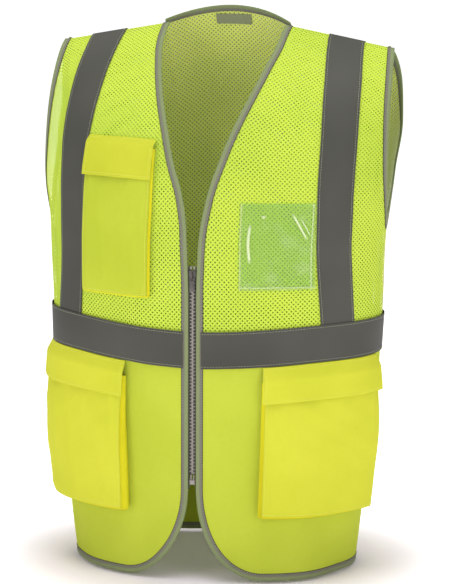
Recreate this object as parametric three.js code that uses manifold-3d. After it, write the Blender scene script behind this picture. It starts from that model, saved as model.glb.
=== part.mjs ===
// High visibility vest, as worn: +Z up, +Y to the wearer's back, +X to the wearer's left, millimetres.
// The origin is level with the inner ends of the shoulder seams, on the middle plane of the body.
import * as THREE from "three";
import { mergeVertices } from "three/addons/utils/BufferGeometryUtils.js";
import Module from "manifold-3d";

const wasm = await Module();
wasm.setup();

// ---------------------------------------------------------------- driving dimensions
const neckHalf = 89;            // shoulder seam's inner end
const shoulderHalf = 228;       // shoulder seam's outer end
const shoulderFall = 10.5;      // degrees below level
const shoulderY = 62;           // shoulder seam, behind the side seam's plane
const neckRise = 18;            // back neckline above the seam ends
const neckDepth = 32;           // back neckline behind the seam ends
const underarmZ = -270;
const hemZ = -726;
const cornerAcross = 84;        // rounded front corners of the hem
const cornerUp = 116;
const tapeWidth = 50;           // reflective tape
const beltTopZ = -394;          // belt tape's top edge at the zip
const beltRise = 12;            // how much higher it runs at the sides
const fabric = 0.8;             // one layer of cloth
const tape = 0.6;               // reflective tape and zip tape
const layerGap = 0.7;           // between stacked layers
const seamGap = 0.8;            // between two panels that meet
const bindingWidth = 7;         // edging strip, joined to the cloth's edge
const bindingThick = 2.2;
const edgeGap = 0.4;            // between the strip and the cloth
const chainRoom = 5.3;          // binding's edge from the zip's middle
const zipTopZ = -306;
const zipBottomZ = -604;
const zipTapeWidth = 15;
const toothPitch = 4.8;
const toothHeight = 2;
const toothThick = 2.4;
const toothReach = 1.1;         // past the zip's middle
const toothRoot = 3.6;
const sliderLength = 14;
const sliderHalf = 4.9;
const sliderPlate = 1;
const clearance = 0.4;          // between parts that slide or turn
const pullHalf = 3.6;
const pullLength = 20;
const chestInner = 60;          // chest pocket's edges from the middle
const chestOuter = 156;
const chestTopZ = -142;
const chestBottomZ = -348;
const chestFlap = 52;
const chestPuff = 11;
const windowInner = 62;         // clear window's edges from the middle
const windowOuter = 160;
const windowTopZ = -220;
const windowHeight = 116;
const windowThick = 0.5;
const zipTapeTail = 7;          // zip tape below the box
const zipSink = 2;              // zip's middle behind the cloth's outer line
const boxHeight = 6;
const boxHalf = 3.5;
const boxThick = 3.8;
const pinWidth = 1.4;
const pinThick = 1;
const pinRise = 7;              // pins above the box
const stopHeight = 3.5;
const archRise = 3.8;           // slider's bridge above its plate
const archBar = 1.2;
const archHalf = 0.9;
const cargoInner = 100;         // cargo pocket's edges along the cloth from the zip
const cargoWidth = 168;
const cargoBottomZ = -642;
const cargoFlap = 47;
const cargoPuff = 22;
const flapThick = 1.4;
const chestTuck = 12;           // pocket's open edge below its flap's seam
const cargoTuck = 20;
const patchThick = 0.6;
const patchHeight = 18;
const neckTabHalf = 25;
const neckTabHeight = 14;

const zipEdge = chainRoom + bindingWidth + edgeGap;   // cloth's edge from the zip's middle
const quarterTurn = Math.PI / 2;
const ridgeZone = 12;
const radians = THREE.MathUtils.degToRad;

// ---------------------------------------------------------------- the body's shape
// Stations run upwards: [height, value]; a monotone cubic joins them.
const halfWidthAt = through([[hemZ, 194], [-600, 209], [-440, 225], [underarmZ, 233], [-190, 242], [-110, 248], [60, 250]]);
const frontDepthAt = through([[hemZ, 140], [-625, 130], [-285, 130], [-225, 121], [-170, 117], [60, 117]]);
const backDepthAt = through([[hemZ, 146], [-600, 140], [-420, 133], [-200, 130], [60, 120]]);
const backSquareAt = through([[hemZ, 2.1], [-420, 2.2], [-300, 2.4], [-190, 3.2], [-120, 5], [60, 5]]);
const neckEdgeAt = through([[-330, zipEdge], [-265, zipEdge + 3], [-215, zipEdge + 11], [-170, 38], [-130, 51],
  [-80, 69], [-50, 79], [-22, 87], [0, neckHalf]]);
const frontArmAt = through([[underarmZ, 90], [-230, 86.5], [-186, 83.2], [-126, 80.9], [-73, 79.6], [-36, 78.4],
  [-24, 77.6]]);
const backArmAt = through([[underarmZ, 90], [-230, 84], [-190, 78], [-150, 73], [-120, 69.5], [-70, 68.2], [-37, 66],
  [-24, 64.2]]);
const tapeInnerAt = through([[-400, 168], [-270, 161], [-150, 160], [-60, 153], [0, 143]]);

function through(stations) {
  const at = stations.map((station) => station[0]);
  const value = stations.map((station) => station[1]);
  const slope = [];
  for (let i = 0; i + 1 < at.length; i += 1) slope.push((value[i + 1] - value[i]) / (at[i + 1] - at[i]));
  const tangent = value.map((_, i) => {
    if (i === 0) return slope[0];
    if (i === value.length - 1) return slope[i - 1];
    if (slope[i - 1] * slope[i] <= 0) return 0;
    return (2 * slope[i - 1] * slope[i]) / (slope[i - 1] + slope[i]);
  });
  return (height) => {
    const h = THREE.MathUtils.clamp(height, at[0], at[at.length - 1]);
    let i = 0;
    while (i + 2 < at.length && h > at[i + 1]) i += 1;
    const span = at[i + 1] - at[i];
    const t = (h - at[i]) / span;
    const s = 1 - t;
    return value[i] * s * s * (1 + 2 * t) + value[i + 1] * t * t * (3 - 2 * t)
      + span * t * s * (tangent[i] * s - tangent[i + 1] * t);
  };
}

// Where the cloth starts: the shoulder seam, and on the back the neckline between its ends.
function topLine(x, isBack) {
  const out = Math.abs(x);
  const inside = Math.max(0, 1 - (out / neckHalf) ** 2);
  if (isBack && out < neckHalf) return { y: shoulderY + neckDepth * inside, z: neckRise * inside };
  return { y: shoulderY, z: -Math.tan(radians(shoulderFall)) * (out - neckHalf) };
}

// How far the cloth has come from the shoulder ridge to its full section, by depth below the ridge.
function fullness(depth, isBack) {
  const reach = isBack ? 150 : 200;
  const left = 1 - THREE.MathUtils.clamp(depth / reach, 0, 1);
  return (1 - left ** 1.65) ** 0.8;
}

// A point of the body: turn is 0 at the zip, +90 degrees at the wearer's left side, 180 at the back.
function body(turn, z) {
  const isBack = Math.abs(turn) > quarterTurn;
  const power = isBack ? backSquareAt(z) : 2;
  const depth = isBack ? backDepthAt(z) : frontDepthAt(z);
  const across = (Math.abs(Math.sin(turn)) / halfWidthAt(z)) ** power;
  const along = (Math.abs(Math.cos(turn)) / depth) ** power;
  const radius = (across + along) ** (-1 / power);
  const x = radius * Math.sin(turn);
  const top = topLine(x, isBack);
  const seamY = top.y + (isBack ? seamGap : -seamGap) / 2;
  const full = -radius * Math.cos(turn);
  const point = new THREE.Vector3(x, seamY + (full - seamY) * fullness(top.z - z, isBack), z);
  point.turn = turn;
  return point;
}

// The way out of the body at a point that is clear of the shoulder ridge.
function outward(turn, z) {
  const small = { turn: 0.004, z: 0.5 };
  const round = body(turn + small.turn, z).sub(body(turn - small.turn, z));
  const up = body(turn, z + small.z).sub(body(turn, z - small.z));
  return round.cross(up).normalize();
}

function turnAtX(x, z) {
  const share = Math.min(1, Math.abs(x) / halfWidthAt(z));
  return Math.sign(x) * Math.atan2(Math.abs(x), frontDepthAt(z) * Math.sqrt(1 - share * share));
}

function backTurnAtX(x, z) {
  const power = backSquareAt(z);
  const share = Math.min(1, Math.abs(x) / halfWidthAt(z));
  return Math.sign(x) * (Math.PI - Math.atan2(Math.abs(x), backDepthAt(z) * (1 - share ** power) ** (1 / power)));
}

function beltMiddle(turn) {
  const side = Math.abs(turn) < quarterTurn ? Math.sin(turn) ** 2 : 1;
  return beltTopZ - tapeWidth / 2 + beltRise * side;
}

// The turn that lies a length of cloth away from the zip, measured at the belt and kept as a share of the
// quarter round at other heights, as a panel that narrows does.
function turnAtCloth(length, z) {
  const steps = 90;
  const arcs = (height) => {
    const list = [0];
    for (let i = 1; i <= steps; i += 1) {
      const a = body((quarterTurn * (i - 1)) / steps, height);
      list.push(list[i - 1] + a.distanceTo(body((quarterTurn * i) / steps, height)));
    }
    return list;
  };
  const belt = arcs(beltTopZ);
  const here = arcs(z);
  const want = (length / belt[steps]) * here[steps];
  let i = 1;
  while (i < steps && here[i] < want) i += 1;
  return (quarterTurn * (i - 1 + (want - here[i - 1]) / (here[i] - here[i - 1]))) / steps;
}

// ---------------------------------------------------------------- solids from grids and paths
const lerp = THREE.MathUtils.lerp;
const steps = (count) => Array.from({ length: count + 1 }, (_, i) => i / count);
const mirror = (grid) => grid.map((row) => row.map((p) => across(p)).reverse());
const sided = (grid, side) => (side > 0 ? grid : mirror(grid));

function across(point) {
  const other = new THREE.Vector3(-point.x, point.y, point.z);
  other.turn = -point.turn;
  return other;
}

function gridOf(columns, rows, place) {
  return rows.map((v) => columns.map((u) => place(u, v)));
}

// Outward normals of a grid whose rows run down and whose columns run with the turn. Near the shoulder
// ridge they come from the grid itself, because the body's own slope has no end there.
function normalsOf(grid) {
  const lastRow = grid.length - 1;
  const lastColumn = grid[0].length - 1;
  return grid.map((row, j) => row.map((p, i) => {
    if (topLine(p.x, Math.abs(p.turn) > quarterTurn).z - p.z > ridgeZone) return outward(p.turn, p.z);
    const right = row[Math.min(i + 1, lastColumn)].clone().sub(row[Math.max(i - 1, 0)]);
    const up = grid[Math.max(j - 1, 0)][i].clone().sub(grid[Math.min(j + 1, lastRow)][i]);
    return right.cross(up).normalize();
  }));
}

function closedBody(points, faces) {
  let volume = 0;
  for (const [a, b, c] of faces) volume += points[a].dot(points[b].clone().cross(points[c]));
  const geometry = new THREE.BufferGeometry();
  geometry.setAttribute("position", new THREE.Float32BufferAttribute(points.flatMap((p) => p.toArray()), 3));
  geometry.setIndex(faces.flatMap(([a, b, c]) => (volume > 0 ? [a, b, c] : [a, c, b])));
  geometry.computeVertexNormals();
  return geometry;
}

// A sheet of cloth between two offsets from the grid. Each offset is a number or a function of row and column.
function sheet(grid, inner, outer) {
  const normals = normalsOf(grid);
  const rows = grid.length;
  const columns = grid[0].length;
  const points = [];
  for (const offset of [outer, inner]) {
    grid.forEach((row, j) => row.forEach((p, i) => {
      const far = typeof offset === "function" ? offset(j, i) : offset;
      points.push(p.clone().addScaledVector(normals[j][i], far));
    }));
  }
  const size = rows * columns;
  const at = (j, i) => j * columns + i;
  const faces = [];
  const quad = (a, b, c, d) => faces.push([a, b, c], [a, c, d]);
  for (let j = 0; j + 1 < rows; j += 1) {
    for (let i = 0; i + 1 < columns; i += 1) {
      const [a, b, c, d] = [at(j, i), at(j + 1, i), at(j + 1, i + 1), at(j, i + 1)];
      quad(a, b, c, d);
      faces.push([a + size, c + size, b + size], [a + size, d + size, c + size]);
    }
    quad(at(j, 0), at(j, 0) + size, at(j + 1, 0) + size, at(j + 1, 0));
    quad(at(j + 1, columns - 1), at(j + 1, columns - 1) + size, at(j, columns - 1) + size, at(j, columns - 1));
  }
  for (let i = 0; i + 1 < columns; i += 1) {
    quad(at(0, i + 1), at(0, i + 1) + size, at(0, i) + size, at(0, i));
    quad(at(rows - 1, i), at(rows - 1, i) + size, at(rows - 1, i + 1) + size, at(rows - 1, i + 1));
  }
  return closedBody(points, faces);
}

// A strip swept along stations { point, normal, out }; outline(k) gives the section at station k as
// [out, normal] pairs.
function swept(stations, outline) {
  const points = [];
  const faces = [];
  const count = outline(0).length;
  stations.forEach((station, k) => {
    for (const [u, v] of outline(k)) {
      points.push(station.point.clone().addScaledVector(station.out, u).addScaledVector(station.normal, v));
    }
  });
  for (let k = 0; k + 1 < stations.length; k += 1) {
    for (let i = 0; i < count; i += 1) {
      const a = k * count + i;
      const b = k * count + ((i + 1) % count);
      faces.push([a, b, b + count], [a, b + count, a + count]);
    }
  }
  const section = outline(0).map(([u, v]) => new THREE.Vector2(u, v));
  const last = (stations.length - 1) * count;
  for (const [a, b, c] of THREE.ShapeUtils.triangulateShape(section, [])) {
    faces.push([a, c, b], [a + last, b + last, c + last]);
  }
  return closedBody(points, faces);
}

// The stations of a grid's edge. Walk gives the [row, column] of each; inside gives the neighbour within.
function edgeStations(grid, walk) {
  const normals = normalsOf(grid);
  return walk.map(([j, i, dj, di]) => ({
    point: grid[j][i].clone(),
    normal: normals[j][i].clone(),
    inside: grid[j + dj][i + di].clone(),
  }));
}

// Squares each station up: out lies in the cloth, away from it, at right angles to the path.
function squared(stations) {
  return stations.map((station, k) => {
    const before = stations[Math.max(k - 1, 0)].point;
    const after = stations[Math.min(k + 1, stations.length - 1)].point;
    const along = after.clone().sub(before).normalize();
    const out = along.clone().cross(station.normal).normalize();
    if (out.dot(station.inside.clone().sub(station.point)) > 0) out.negate();
    const normal = out.clone().cross(along).normalize();
    if (normal.dot(station.normal) < 0) normal.negate();
    return { point: station.point, out, normal };
  });
}

// Edging strip along the cloth's edge, as thick as the folded binding.
function binding(stations) {
  const low = (fabric - bindingThick) / 2;
  const outline = [
    [edgeGap, low],
    [edgeGap + bindingWidth, low],
    [edgeGap + bindingWidth, low + bindingThick],
    [edgeGap, low + bindingThick],
  ];
  return swept(squared(stations), () => outline);
}

// ---------------------------------------------------------------- the scene graph
const vest = new THREE.Group();

const finishes = {
  mesh: { color: 0xc9dd55, roughness: 0.85, metalness: 0 },
  cloth: { color: 0xccd845, roughness: 0.8, metalness: 0 },
  pocket: { color: 0xdede40, roughness: 0.8, metalness: 0 },
  tape: { color: 0x5b5c55, roughness: 0.45, metalness: 0.2 },
  binding: { color: 0x8c9372, roughness: 0.7, metalness: 0 },
  zipTape: { color: 0x77776c, roughness: 0.8, metalness: 0 },
  plastic: { color: 0x767570, roughness: 0.4, metalness: 0 },
  metal: { color: 0x8c8b85, roughness: 0.35, metalness: 0.9 },
  clear: { color: 0xe6f0d8, roughness: 0.1, metalness: 0 },
  hook: { color: 0xc8ce3e, roughness: 0.95, metalness: 0 },
};

function add(name, geometry, finish) {
  const mesh = new THREE.Mesh(geometry, new THREE.MeshStandardMaterial(finishes[finish]));
  mesh.name = name;
  vest.add(mesh);
  return mesh;
}

const handed = [["left", 1], ["right", -1]];

// ---------------------------------------------------------------- panels
const ridge = 0.02;   // how close the grids come to the ridge, where the slope is endless
const sideTurn = quarterTurn - seamGap / 2 / halfWidthAt(underarmZ);
const armTopZ = topLine(shoulderHalf, false).z;
const sideJoinZ = beltMiddle(quarterTurn) + seamGap / 2;
const armShare = (underarmZ - armTopZ) / (sideJoinZ - armTopZ);
const armRows = 9;
const meshRows = [...steps(armRows).map((t) => armShare * t ** 1.7),
  ...steps(3).slice(1).map((t) => lerp(armShare, 1, t))];
const lapShare = 0.045;

function frontMeshGrid() {
  const columns = [0, lapShare, ...steps(14).slice(1, -1), 1 - lapShare, 1];
  return gridOf(columns, meshRows, (u, v) => {
    const seamX = lerp(neckHalf, shoulderHalf, u);
    const topZ = topLine(seamX, false).z - ridge;
    const z = lerp(topZ, beltMiddle(u * quarterTurn) + seamGap / 2, v);
    const armTurn = Math.min(radians(frontArmAt(z)), sideTurn);
    const seamTurn = turnAtX(seamX, z);
    const turn = lerp(turnAtX(neckEdgeAt(z), z), armTurn, u);
    return body(v === 0 ? seamTurn : turn, z);
  });
}

function backMeshGrid() {
  const columns = [0, lapShare / 2, ...steps(26).slice(1, -1), 1 - lapShare / 2, 1];
  return gridOf(columns, meshRows, (u, v) => {
    const across = 2 * u - 1;
    const side = Math.sign(across) || 1;
    const seamX = shoulderHalf * across;
    const topZ = topLine(seamX, true).z - ridge;
    const z = lerp(topZ, beltMiddle(Math.PI) + seamGap / 2, v);
    const armTurn = Math.min(radians(backArmAt(z)), sideTurn);
    const seamTurn = Math.PI - Math.abs(backTurnAtX(seamX, z) || Math.PI);
    const evenTurn = armTurn * Math.abs(across);
    return body(side * (Math.PI - lerp(seamTurn, evenTurn, Math.min(1, v * 3))), z);
  }).map((row) => row.reverse());
}

// Columns of the lower front panel follow the rounded corner first and then run on to the side seam.
function frontLowerGrid() {
  const corner = steps(6).map((t) => ({ x: zipEdge + cornerAcross * (1 - Math.cos(t * quarterTurn)),
    z: hemZ + cornerUp * (1 - Math.sin(t * quarterTurn)) }));
  const cornerTurn = turnAtX(zipEdge + cornerAcross, hemZ);
  const rest = steps(10).slice(1).map((t) => ({ turn: lerp(cornerTurn, sideTurn, t), z: hemZ }));
  return gridOf([...corner, ...rest], steps(7), (column, v) => {
    const guess = column.turn ?? turnAtX(column.x, column.z);
    const z = lerp(beltMiddle(guess) - seamGap / 2, column.z, v);
    return body(column.turn ?? turnAtX(column.x, z), z);
  });
}

function backLowerGrid() {
  return gridOf(steps(30), steps(6), (u, v) => {
    const turn = lerp(-sideTurn, sideTurn, u) + Math.PI;
    return body(turn > Math.PI ? turn - 2 * Math.PI : turn, lerp(beltMiddle(Math.PI) - seamGap / 2, hemZ, v));
  });
}

const frontMesh = frontMeshGrid();
const frontLower = frontLowerGrid();
const backMesh = backMeshGrid();
const backLower = backLowerGrid();

add("back_mesh_panel", sheet(backMesh, 0, fabric), "mesh");
add("back_lower_panel", sheet(backLower, 0, fabric), "cloth");
for (const [name, side] of handed) {
  add(`front_mesh_panel_${name}`, sheet(sided(frontMesh, side), 0, fabric), "mesh");
  add(`front_lower_panel_${name}`, sheet(sided(frontLower, side), 0, fabric), "cloth");
}

// ---------------------------------------------------------------- bindings
const lastOf = (list) => list.length - 1;
const downColumn = (grid, i, di) => grid.map((_, j) => [j, i, 0, di]);
const alongRow = (grid, j, dj) => grid[0].map((_, i) => [j, i, dj, 0]);

function flipped(stations) {
  return stations.map(({ point, normal, inside }) => (
    { point: across(point), normal: across(normal), inside: across(inside) }));
}

const hemWalk = alongRow(frontLower, lastOf(frontLower), -1).slice(1);
const frontEdge = [
  ...edgeStations(frontMesh, downColumn(frontMesh, 0, 1)),
  ...edgeStations(frontLower, downColumn(frontLower, 0, 1)).slice(1),
  ...edgeStations(frontLower, hemWalk),
];
const armEdge = [
  ...edgeStations(frontMesh, downColumn(frontMesh, lastOf(frontMesh[0]), -1)).slice(0, armRows + 1),
  ...edgeStations(backMesh, downColumn(backMesh, 0, 1)).slice(0, armRows).reverse(),
];
const neckEdge = edgeStations(backMesh, alongRow(backMesh, 0, 1))
  .filter(({ point }) => Math.abs(point.x) < neckHalf);

for (const [name, side] of handed) {
  const turned = (stations) => (side > 0 ? stations : flipped(stations));
  add(`front_binding_${name}`, binding(turned(frontEdge)), "binding");
  add(`armhole_binding_${name}`, binding(turned(armEdge)), "binding");
}
add("back_neck_binding", binding(neckEdge), "binding");
add("hem_binding_back", binding(edgeStations(backLower, alongRow(backLower, lastOf(backLower), -1))), "binding");

// ---------------------------------------------------------------- seams and reflective tape
const layerOne = fabric + layerGap;             // what is sewn on the cloth starts here
const layerTwo = layerOne + tape + layerGap;    // what crosses the upright tapes starts here
const seamHalf = 5;
const seamDepth = 1.4;
const seamInset = 6;

function sideSeamGrid() {
  const spread = seamHalf / halfWidthAt(underarmZ);
  const turns = [-1, 0, 1].map((k) => quarterTurn + k * spread);
  return gridOf(turns, steps(10), (turn, v) => body(turn, lerp(underarmZ - seamInset * 2, hemZ, v)));
}

function shoulderSeamGrid() {
  const drop = 1.6;
  return gridOf(steps(6), [-1, 0, 1], (u, row) => {
    const x = lerp(neckHalf + seamInset, shoulderHalf - seamInset, u);
    const z = topLine(x, false).z - (row === 0 ? ridge : drop);
    return body(row < 0 ? backTurnAtX(x, z) : turnAtX(x, z), z);
  });
}

// One row across an upright tape: points along the cloth from the tape's inner edge.
function tapeRow(v, isBack) {
  const joinZ = sideJoinZ;
  const place = (x) => {
    const z = lerp(topLine(x, isBack).z - ridge, joinZ, v);
    return body(isBack ? backTurnAtX(x, z) : turnAtX(x, z), z);
  };
  const pieces = 4;
  const stride = 0.5;
  let x = tapeInnerAt(lerp(0, joinZ, v));
  let length = 0;
  const row = [place(x)];
  while (row.length <= pieces) {
    x += stride;
    length += place(x).distanceTo(place(x - stride));
    if (length >= (tapeWidth * row.length) / pieces) row.push(place(x));
  }
  return isBack ? row.reverse() : row;
}

function uprightTape(isBack) {
  const tuck = 12;
  const lastShare = (beltTopZ + beltRise - tuck) / sideJoinZ;
  const rows = [...meshRows.filter((v) => v < lastShare - 0.02), lastShare];
  return rows.map((v) => tapeRow(v, isBack));
}

function beltGrid(fromTurn, toTurn, count) {
  return gridOf(steps(count), [0.5, 0, -0.5], (u, row) => {
    const turn = lerp(fromTurn, toTurn, u);
    return body(turn > Math.PI ? turn - 2 * Math.PI : turn, beltMiddle(turn) + row * tapeWidth);
  });
}

const beltStart = turnAtX(zipEdge, beltTopZ);
for (const [name, side] of handed) {
  add(`side_seam_${name}`, sheet(sided(sideSeamGrid(), side), -seamDepth - fabric, -seamDepth), "binding");
  add(`shoulder_seam_${name}`, sheet(sided(shoulderSeamGrid(), side), -seamDepth - fabric, -seamDepth), "binding");
  add(`front_tape_${name}`, sheet(sided(uprightTape(false), side), layerOne, layerOne + tape), "tape");
  add(`back_tape_${name}`, sheet(sided(uprightTape(true), side), layerOne, layerOne + tape), "tape");
  const front = sided(beltGrid(beltStart, sideTurn, 14), side);
  add(`belt_tape_front_${name}`, sheet(front, layerTwo, layerTwo + tape), "tape");
}
const beltBack = beltGrid(2 * quarterTurn - sideTurn, 2 * quarterTurn + sideTurn, 28);
add("belt_tape_back", sheet(beltBack, layerTwo, layerTwo + tape), "tape");

const neckTab = gridOf([1, 0.5, 0, -0.5, -1], [0, 0.5, 1], (u, v) => {
  const z = neckRise - seamInset - neckTabHeight * v;
  return body(backTurnAtX(u * neckTabHalf, z) || Math.PI, z);
});
add("neck_tab", sheet(neckTab, -layerGap - tape, -layerGap), "binding");

// ---------------------------------------------------------------- zip
const zipY = -frontDepthAt(zipBottomZ) + zipSink;   // the zip's middle plane
const boxTopZ = zipBottomZ + boxHeight;
const sliderTopZ = zipTopZ - stopHeight - clearance * 4;
const teethTopZ = sliderTopZ - sliderLength / 2;
const pinTopZ = boxTopZ + pinRise;

function block(x, y, z) {
  const box = new THREE.BoxGeometry(x[1] - x[0], y[1] - y[0], z[1] - z[0]);
  return box.translate((x[0] + x[1]) / 2, (y[0] + y[1]) / 2, (z[0] + z[1]) / 2);
}

function solid(geometry) {
  const clean = geometry.clone();
  clean.deleteAttribute("normal");
  clean.deleteAttribute("uv");
  const merged = mergeVertices(clean, 1e-4);
  const mesh = new wasm.Mesh({
    numProp: 3,
    vertProperties: new Float32Array(merged.attributes.position.array),
    triVerts: new Uint32Array(merged.index.array),
  });
  return new wasm.Manifold(mesh);
}

function geometryOf(manifold) {
  const { vertProperties, triVerts } = manifold.getMesh();
  const geometry = new THREE.BufferGeometry();
  geometry.setAttribute("position", new THREE.BufferAttribute(vertProperties, 3));
  geometry.setIndex(new THREE.BufferAttribute(triVerts, 1));
  geometry.computeVertexNormals();
  return geometry;
}

const joined = (first, ...others) => others.reduce((sum, other) => sum.add(solid(other)), solid(first));

// A row of teeth on its cord, drawn flat in x and z. Shift starts it half a pitch lower on one side.
function teethOutline(shift) {
  const count = Math.floor((teethTopZ - pinTopZ - toothPitch) / toothPitch);
  const cord = toothReach + clearance * 2;
  const outline = new THREE.Shape();
  outline.moveTo(toothRoot, teethTopZ);
  outline.lineTo(cord, teethTopZ);
  for (let i = 0; i < count; i += 1) {
    const top = teethTopZ - shift - clearance - i * toothPitch;
    outline.lineTo(cord, top);
    outline.lineTo(-toothReach, top);
    outline.lineTo(-toothReach, top - toothHeight);
    outline.lineTo(cord, top - toothHeight);
  }
  outline.lineTo(cord, pinTopZ + clearance);
  outline.lineTo(toothRoot, pinTopZ + clearance);
  return outline;
}

function teeth(side) {
  const outline = teethOutline(side > 0 ? 0 : toothPitch / 2);
  const points = outline.getPoints().map((p) => new THREE.Vector2(side * p.x, p.y));
  const flat = new THREE.ExtrudeGeometry(new THREE.Shape(points), { depth: toothThick, bevelEnabled: false });
  return flat.rotateX(quarterTurn).translate(0, zipY + toothThick / 2, 0);
}

// Everything on the slider is measured from the zip's middle plane, outwards, and from the slider's top.
const plateIn = toothThick / 2 + clearance;
const plateOut = plateIn + sliderPlate;
const outwards = (from, to) => [zipY - to, zipY - from];
const below = (from, to) => [sliderTopZ - to, sliderTopZ - from];
const archTop = 2.5;
const archBottom = 11;
const pivotDrop = archBottom - archBar - 1.3;   // pull's pivot below the slider's top
const pivotOut = plateOut + 1.4;
const pullThick = 1.2;

function slider() {
  const lip = 0.7;
  const tapeRoom = tape / 2 + clearance;
  const plates = [outwards(plateIn, plateOut), outwards(-plateOut, -plateIn)];
  const wedgeDepth = 6;
  const wedgeHalf = 1.6;
  const wedgeShape = new THREE.Shape([new THREE.Vector2(-wedgeHalf, 0), new THREE.Vector2(0, -wedgeDepth),
    new THREE.Vector2(wedgeHalf, 0)]);
  const wedge = new THREE.ExtrudeGeometry(wedgeShape, { depth: 2 * plateOut, bevelEnabled: false });
  wedge.rotateX(quarterTurn).translate(0, zipY + plateOut, sliderTopZ);
  const parts = plates.map((y) => block([-sliderHalf, sliderHalf], y, below(0, sliderLength)));
  for (const side of [-1, 1]) {
    const x = [side * sliderHalf, side * (sliderHalf - lip)].sort((a, b) => a - b);
    parts.push(block(x, outwards(tapeRoom, plateOut), below(0, sliderLength)));
    parts.push(block(x, outwards(-plateOut, -tapeRoom), below(0, sliderLength)));
  }
  const arch = solid(block([-archHalf, archHalf], outwards(plateIn, plateOut + archRise), below(archTop, archBottom)));
  const eye = solid(block([-sliderHalf, sliderHalf], outwards(plateOut + 0.2, plateOut + archRise - archBar),
    below(archTop + archBar, archBottom - archBar)));
  return geometryOf(joined(wedge, ...parts).add(arch.subtract(eye)));
}

function pull() {
  const bar = 0.5;
  const armIn = archHalf + clearance + 0.1;
  const armOut = armIn + 1;
  const armLength = 5.5;
  const y = outwards(pivotOut - pullThick / 2, pivotOut + pullThick / 2);
  const crossbar = block([-armOut, armOut], outwards(pivotOut - bar, pivotOut + bar),
    below(pivotDrop - bar, pivotDrop + bar));
  const arms = [-1, 1].map((side) => {
    const x = [side * armIn, side * armOut].sort((a, b) => a - b);
    return block(x, y, below(pivotDrop - bar, pivotDrop + armLength));
  });
  const plate = block([-pullHalf, pullHalf], y, below(pivotDrop + armLength - bar, pivotDrop + pullLength));
  return geometryOf(joined(crossbar, ...arms, plate));
}

function retainerBox() {
  const socket = pinWidth + 2 * clearance;
  const pinX = pinWidth / 2 + clearance;
  const half = boxThick / 2;
  const shell = solid(block([-boxHalf, boxHalf], outwards(-half, half), [zipBottomZ, boxTopZ]));
  const hole = solid(block([-pinX - socket / 2 - pinWidth / 2, -pinX + socket / 2 - pinWidth / 2],
    outwards(-pinThick / 2 - clearance, pinThick / 2 + clearance), [zipBottomZ + pinWidth, boxTopZ + 1]));
  const boxPin = solid(block([pinX, pinX + pinWidth], outwards(-pinThick / 2, pinThick / 2),
    [zipBottomZ + pinWidth, pinTopZ]));
  return geometryOf(shell.subtract(hole).add(boxPin));
}

function insertionPin() {
  const pinX = pinWidth / 2 + clearance;
  return block([-pinX - pinWidth, -pinX], outwards(-pinThick / 2, pinThick / 2),
    [zipBottomZ + pinWidth + clearance, pinTopZ]);
}

for (const [name, side] of handed) {
  const reach = (from, to) => [side * from, side * to].sort((a, b) => a - b);
  const tapeZ = [zipBottomZ - zipTapeTail, zipTopZ];
  const tapeX = reach(toothRoot + clearance, toothRoot + clearance + zipTapeWidth);
  add(`zip_tape_${name}`, block(tapeX, outwards(-tape / 2, tape / 2), tapeZ), "zipTape");
  add(`zip_teeth_${name}`, teeth(side), "plastic");
  add(`zip_top_stop_${name}`, block(reach(toothReach, toothRoot), outwards(-toothThick / 2, toothThick / 2),
    [zipTopZ - stopHeight, zipTopZ]), "plastic");
}
add("zip_retainer_box", retainerBox(), "plastic");
add("zip_insertion_pin", insertionPin(), "plastic");
add("zip_slider", slider(), "metal");
add("zip_pull", pull(), "metal");

// ---------------------------------------------------------------- pockets
// A pocket is laid out by across (0 at its inner edge, 1 at its outer edge) and height. Stand gives how far
// its front stands off the body at a share of its height.
const chestPocket = {
  bottomZ: chestBottomZ,
  puff: chestPuff,
  open: 0.4,
  turn: (u, z) => turnAtX(lerp(chestInner, chestOuter, u), z),
  topZ: () => chestTopZ,
  flapHeight: chestFlap,
  tuck: chestTuck,
  columns: 6,
};
const cargoPocket = {
  bottomZ: cargoBottomZ,
  puff: cargoPuff,
  open: 0.35,
  turn: (u, z) => turnAtCloth(cargoInner + cargoWidth * u, z),
  topZ: (u) => beltMiddle(turnAtCloth(cargoInner + cargoWidth * u, beltTopZ - tapeWidth)) - tapeWidth / 2 - 1,
  flapHeight: cargoFlap,
  tuck: cargoTuck,
  columns: 12,
};
const patchRoom = 3 * clearance + 2 * patchThick;
const flapProud = 0.02;   // flap past each side of its pocket, as a share of the pocket's width

function pocketStand(pocket, share) {
  const v = THREE.MathUtils.clamp(share, 0, 1);
  return layerOne + pocket.puff * lerp(pocket.open, 1, Math.sin(Math.min(1, v * 1.6) * quarterTurn));
}

function pocketPoint(pocket, u, v) {
  const z = lerp(pocket.topZ(u) - pocket.tuck, pocket.bottomZ, v);
  return body(pocket.turn(u, z), z);
}

function pocketGrid(pocket) {
  return gridOf(steps(pocket.columns), steps(8), (u, v) => pocketPoint(pocket, u, v));
}

function pocketFront(pocket, side) {
  const stand = (j) => pocketStand(pocket, j / 8);
  return sheet(sided(pocketGrid(pocket), side), stand, (j) => stand(j) + fabric);
}

// Wall from the body to the pocket's front: down the inner side, along the bottom and up the outer side.
function gusset(pocket, side) {
  const grid = pocketGrid(pocket);
  const last = lastOf(grid);
  const walk = [
    ...downColumn(grid, 0, 1),
    ...alongRow(grid, last, -1).slice(1, -1),
    ...downColumn(grid, pocket.columns, -1).reverse(),
  ];
  const stations = squared(side > 0 ? edgeStations(grid, walk) : flipped(edgeStations(grid, walk)));
  return swept(stations, (k) => {
    const top = pocketStand(pocket, walk[k][0] / last) - clearance;
    return [[-fabric, layerOne], [0, layerOne], [0, top], [-fabric, top]];
  });
}

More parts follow.
